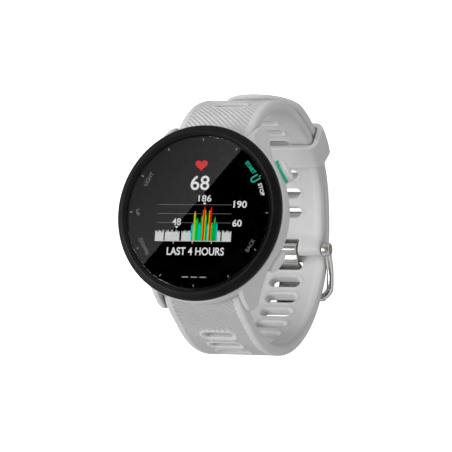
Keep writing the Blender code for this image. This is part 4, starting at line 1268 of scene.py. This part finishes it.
# Floor's gap under the loop and half its side, in metres
FLOOR_GAP = 0.0002
FLOOR_HALF = 1.5
FLOOR_TONE = (0.45, 0.45, 0.45)
FLOOR_LIGHT = (0.47, 0.47, 0.47)
# The room's soft light, from behind the key's side to facing it
ROOM_SIDE = (-0.55, -0.15, 0.82)
ROOM_LIGHT = [(0.0, (0.06, 0.06, 0.06)), (0.5, (0.22, 0.22, 0.22)), (1.0, (0.85, 0.85, 0.85))]
GREY_WALL = (0.75, 0.75, 0.75)
BLACK_CEILING = (0.0, 0.0, 0.0)
WALLS = [(0.0, GREY_WALL), (0.45, GREY_WALL), (0.8, BLACK_CEILING)]

# The card mirrored in the lens: two points on the lens under its edge, and how it fades outwards
CARD_EDGE = ((-12.99, -12.45), (9.8, 14.69))
CARD_HEIGHT = 500.0
CARD_LENGTH = 320.0
CARD_WIDTH = 110.0
CARD_POWER = 0.048
CARD_FADE = [(0.0, (1.0, 1.0, 1.0)), (0.5, (0.2, 0.2, 0.2)), (1.0, (0.0, 0.0, 0.0))]

# Camera: its turn, the dial's place in front of it, and its lens for a 36 mm sensor, in millimetres
CAMERA_TURN = ((0.9208, 0.0667, -0.3842), (-0.0073, 0.9881, 0.1539), (0.3899, -0.1389, 0.9103))
CAMERA_SHIFT = (-6.456, 3.166, -599.201)
CAMERA_LENS = 202.285


def build_floor():
    """Plain pale floor just under the lowest point of the loop."""
    low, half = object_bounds()[0][2] - FLOOR_GAP, FLOOR_HALF
    mesh = bpy.data.meshes.new("floor")
    corners = [(-half, -half, low), (half, -half, low), (half, half, low), (-half, half, low)]
    mesh.from_pydata(corners, [], [(0, 1, 2, 3)])
    floor = linked("floor", mesh)
    tree, shader, place = new_material("floor_paper", FLOOR_TONE, 0.9)
    shader.inputs["Specular IOR Level"].default_value = 0.0
    shader.inputs["Emission Color"].default_value = (1.0, 1.0, 1.0, 1.0)
    rays = tree.nodes.new("ShaderNodeLightPath")
    tree.links.new(scaled(tree, rays.outputs["Is Camera Ray"], 0.0, 1.0), shader.inputs["Emission Strength"])
    tone = noise(tree, place, 60.0, 2.0)
    tree.links.new(ramp(tree, tone, [(0.3, FLOOR_TONE), (0.7, FLOOR_LIGHT)]), shader.inputs["Base Color"])
    mesh.materials.append(MATERIALS["floor_paper"])


def area_light(name, place, target, size, power):
    """Soft studio light, in metres and watts."""
    data = bpy.data.lights.new(name, "AREA")
    data.shape = "RECTANGLE"
    data.size, data.size_y = size
    data.energy = power
    light = linked(name, data)
    light.location = place
    light.rotation_euler = (Vector(place) - Vector(target)).to_track_quat("Z", "Y").to_euler()
    light.visible_camera = False
    return light


def dial_reflection(camera):
    """Softbox whose straight edge is mirrored across the lens, bright there and fading away from it."""
    mirrored = Vector((camera.x, camera.y, 2 * LENS_TOP - camera.z))

    def seen(x, y):
        reach = (CARD_HEIGHT - mirrored.z) / (LENS_TOP - mirrored.z)
        return Vector((mirrored.x + reach * (x - mirrored.x), mirrored.y + reach * (y - mirrored.y)))

    start, end = seen(*CARD_EDGE[0]), seen(*CARD_EDGE[1])
    along = (end - start).normalized()
    outward = Vector((-along.y, along.x))
    middle = (start + end) / 2 + outward * CARD_WIDTH / 2
    light = area_light("reflected_softbox", (0, 0, 1), (0, 0, 0),
                       (CARD_LENGTH * MM, CARD_WIDTH * MM), CARD_POWER)
    light.matrix_world = frame_matrix((along.x, along.y, 0), (outward.x, outward.y, 0), (0, 0, 1),
                                      (middle.x, middle.y, CARD_HEIGHT))
    light.data.use_nodes = True
    tree = light.data.node_tree
    across = tree.nodes.new("ShaderNodeSeparateXYZ")
    tree.links.new(tree.nodes.new("ShaderNodeNewGeometry").outputs["Parametric"], across.inputs["Vector"])
    fade = ramp(tree, across.outputs["Y"], CARD_FADE)
    tree.links.new(fade, tree.nodes["Emission"].inputs["Color"])
    return light


def build_world():
    """White room for soft light; mirrors see it dark overhead, as under a black ceiling."""
    world = bpy.data.worlds.new("studio")
    bpy.context.scene.world = world
    world.use_nodes = True
    tree = world.node_tree
    background = tree.nodes["Background"]
    height = tree.nodes.new("ShaderNodeSeparateXYZ")
    direction = tree.nodes.new("ShaderNodeTexCoord").outputs["Generated"]
    tree.links.new(direction, height.inputs["Vector"])
    mirrored = ramp(tree, height.outputs["Z"], WALLS)
    side = tree.nodes.new("ShaderNodeVectorMath")
    side.operation = "DOT_PRODUCT"
    side.inputs[1].default_value = ROOM_SIDE
    tree.links.new(direction, side.inputs[0])
    facing = tree.nodes.new("ShaderNodeMapRange")
    facing.inputs["From Min"].default_value = -1.0
    tree.links.new(side.outputs["Value"], facing.inputs["Value"])
    room = ramp(tree, facing.outputs["Result"], ROOM_LIGHT)
    rays = tree.nodes.new("ShaderNodeLightPath")
    mix = tree.nodes.new("ShaderNodeMix")
    mix.data_type = "RGBA"
    tree.links.new(room, mix.inputs["A"])
    tree.links.new(rays.outputs["Is Glossy Ray"], mix.inputs["Factor"])
    tree.links.new(mirrored, mix.inputs["B"])
    tree.links.new(mix.outputs["Result"], background.inputs["Color"])


def build_studio():
    build_world()
    for name, (place, size, power) in LIGHTS.items():
        light = area_light(name, place, LIGHT_TARGET, size, power)
        light.visible_glossy = name == "key"
    bpy.context.scene.view_settings.view_transform = "Standard"


def build_camera():
    """Camera above the dial and to its right, as in the photograph."""
    data = bpy.data.cameras.new("camera")
    data.sensor_width = 36.0
    data.lens = CAMERA_LENS
    data.clip_start = 0.01
    camera = linked("camera", data)
    upright = Matrix(CAMERA_TURN).transposed()
    place = upright @ -Vector(CAMERA_SHIFT) + Vector((0, 0, PRINT_TOP))
    camera.matrix_world = Matrix.Translation(place * MM) @ upright.to_4x4()
    bpy.context.scene.camera = camera
    return place


# ---------------------------------------------------------------- assembly

build_materials()
camera_place = build_camera()
dress_cad_nodes()
build_case()
build_collar()
for button_name, (button_angle, button_face) in BUTTONS.items():
    build_button(button_name, button_angle, button_face)
build_bezel()
build_lens()
build_hour_marks()
build_labels()
build_readings()
build_graph()
build_buckle_strap()
build_tail_strap()
build_keeper()
build_buckle()
build_back()
build_floor()
build_studio()
dial_reflection(camera_place)
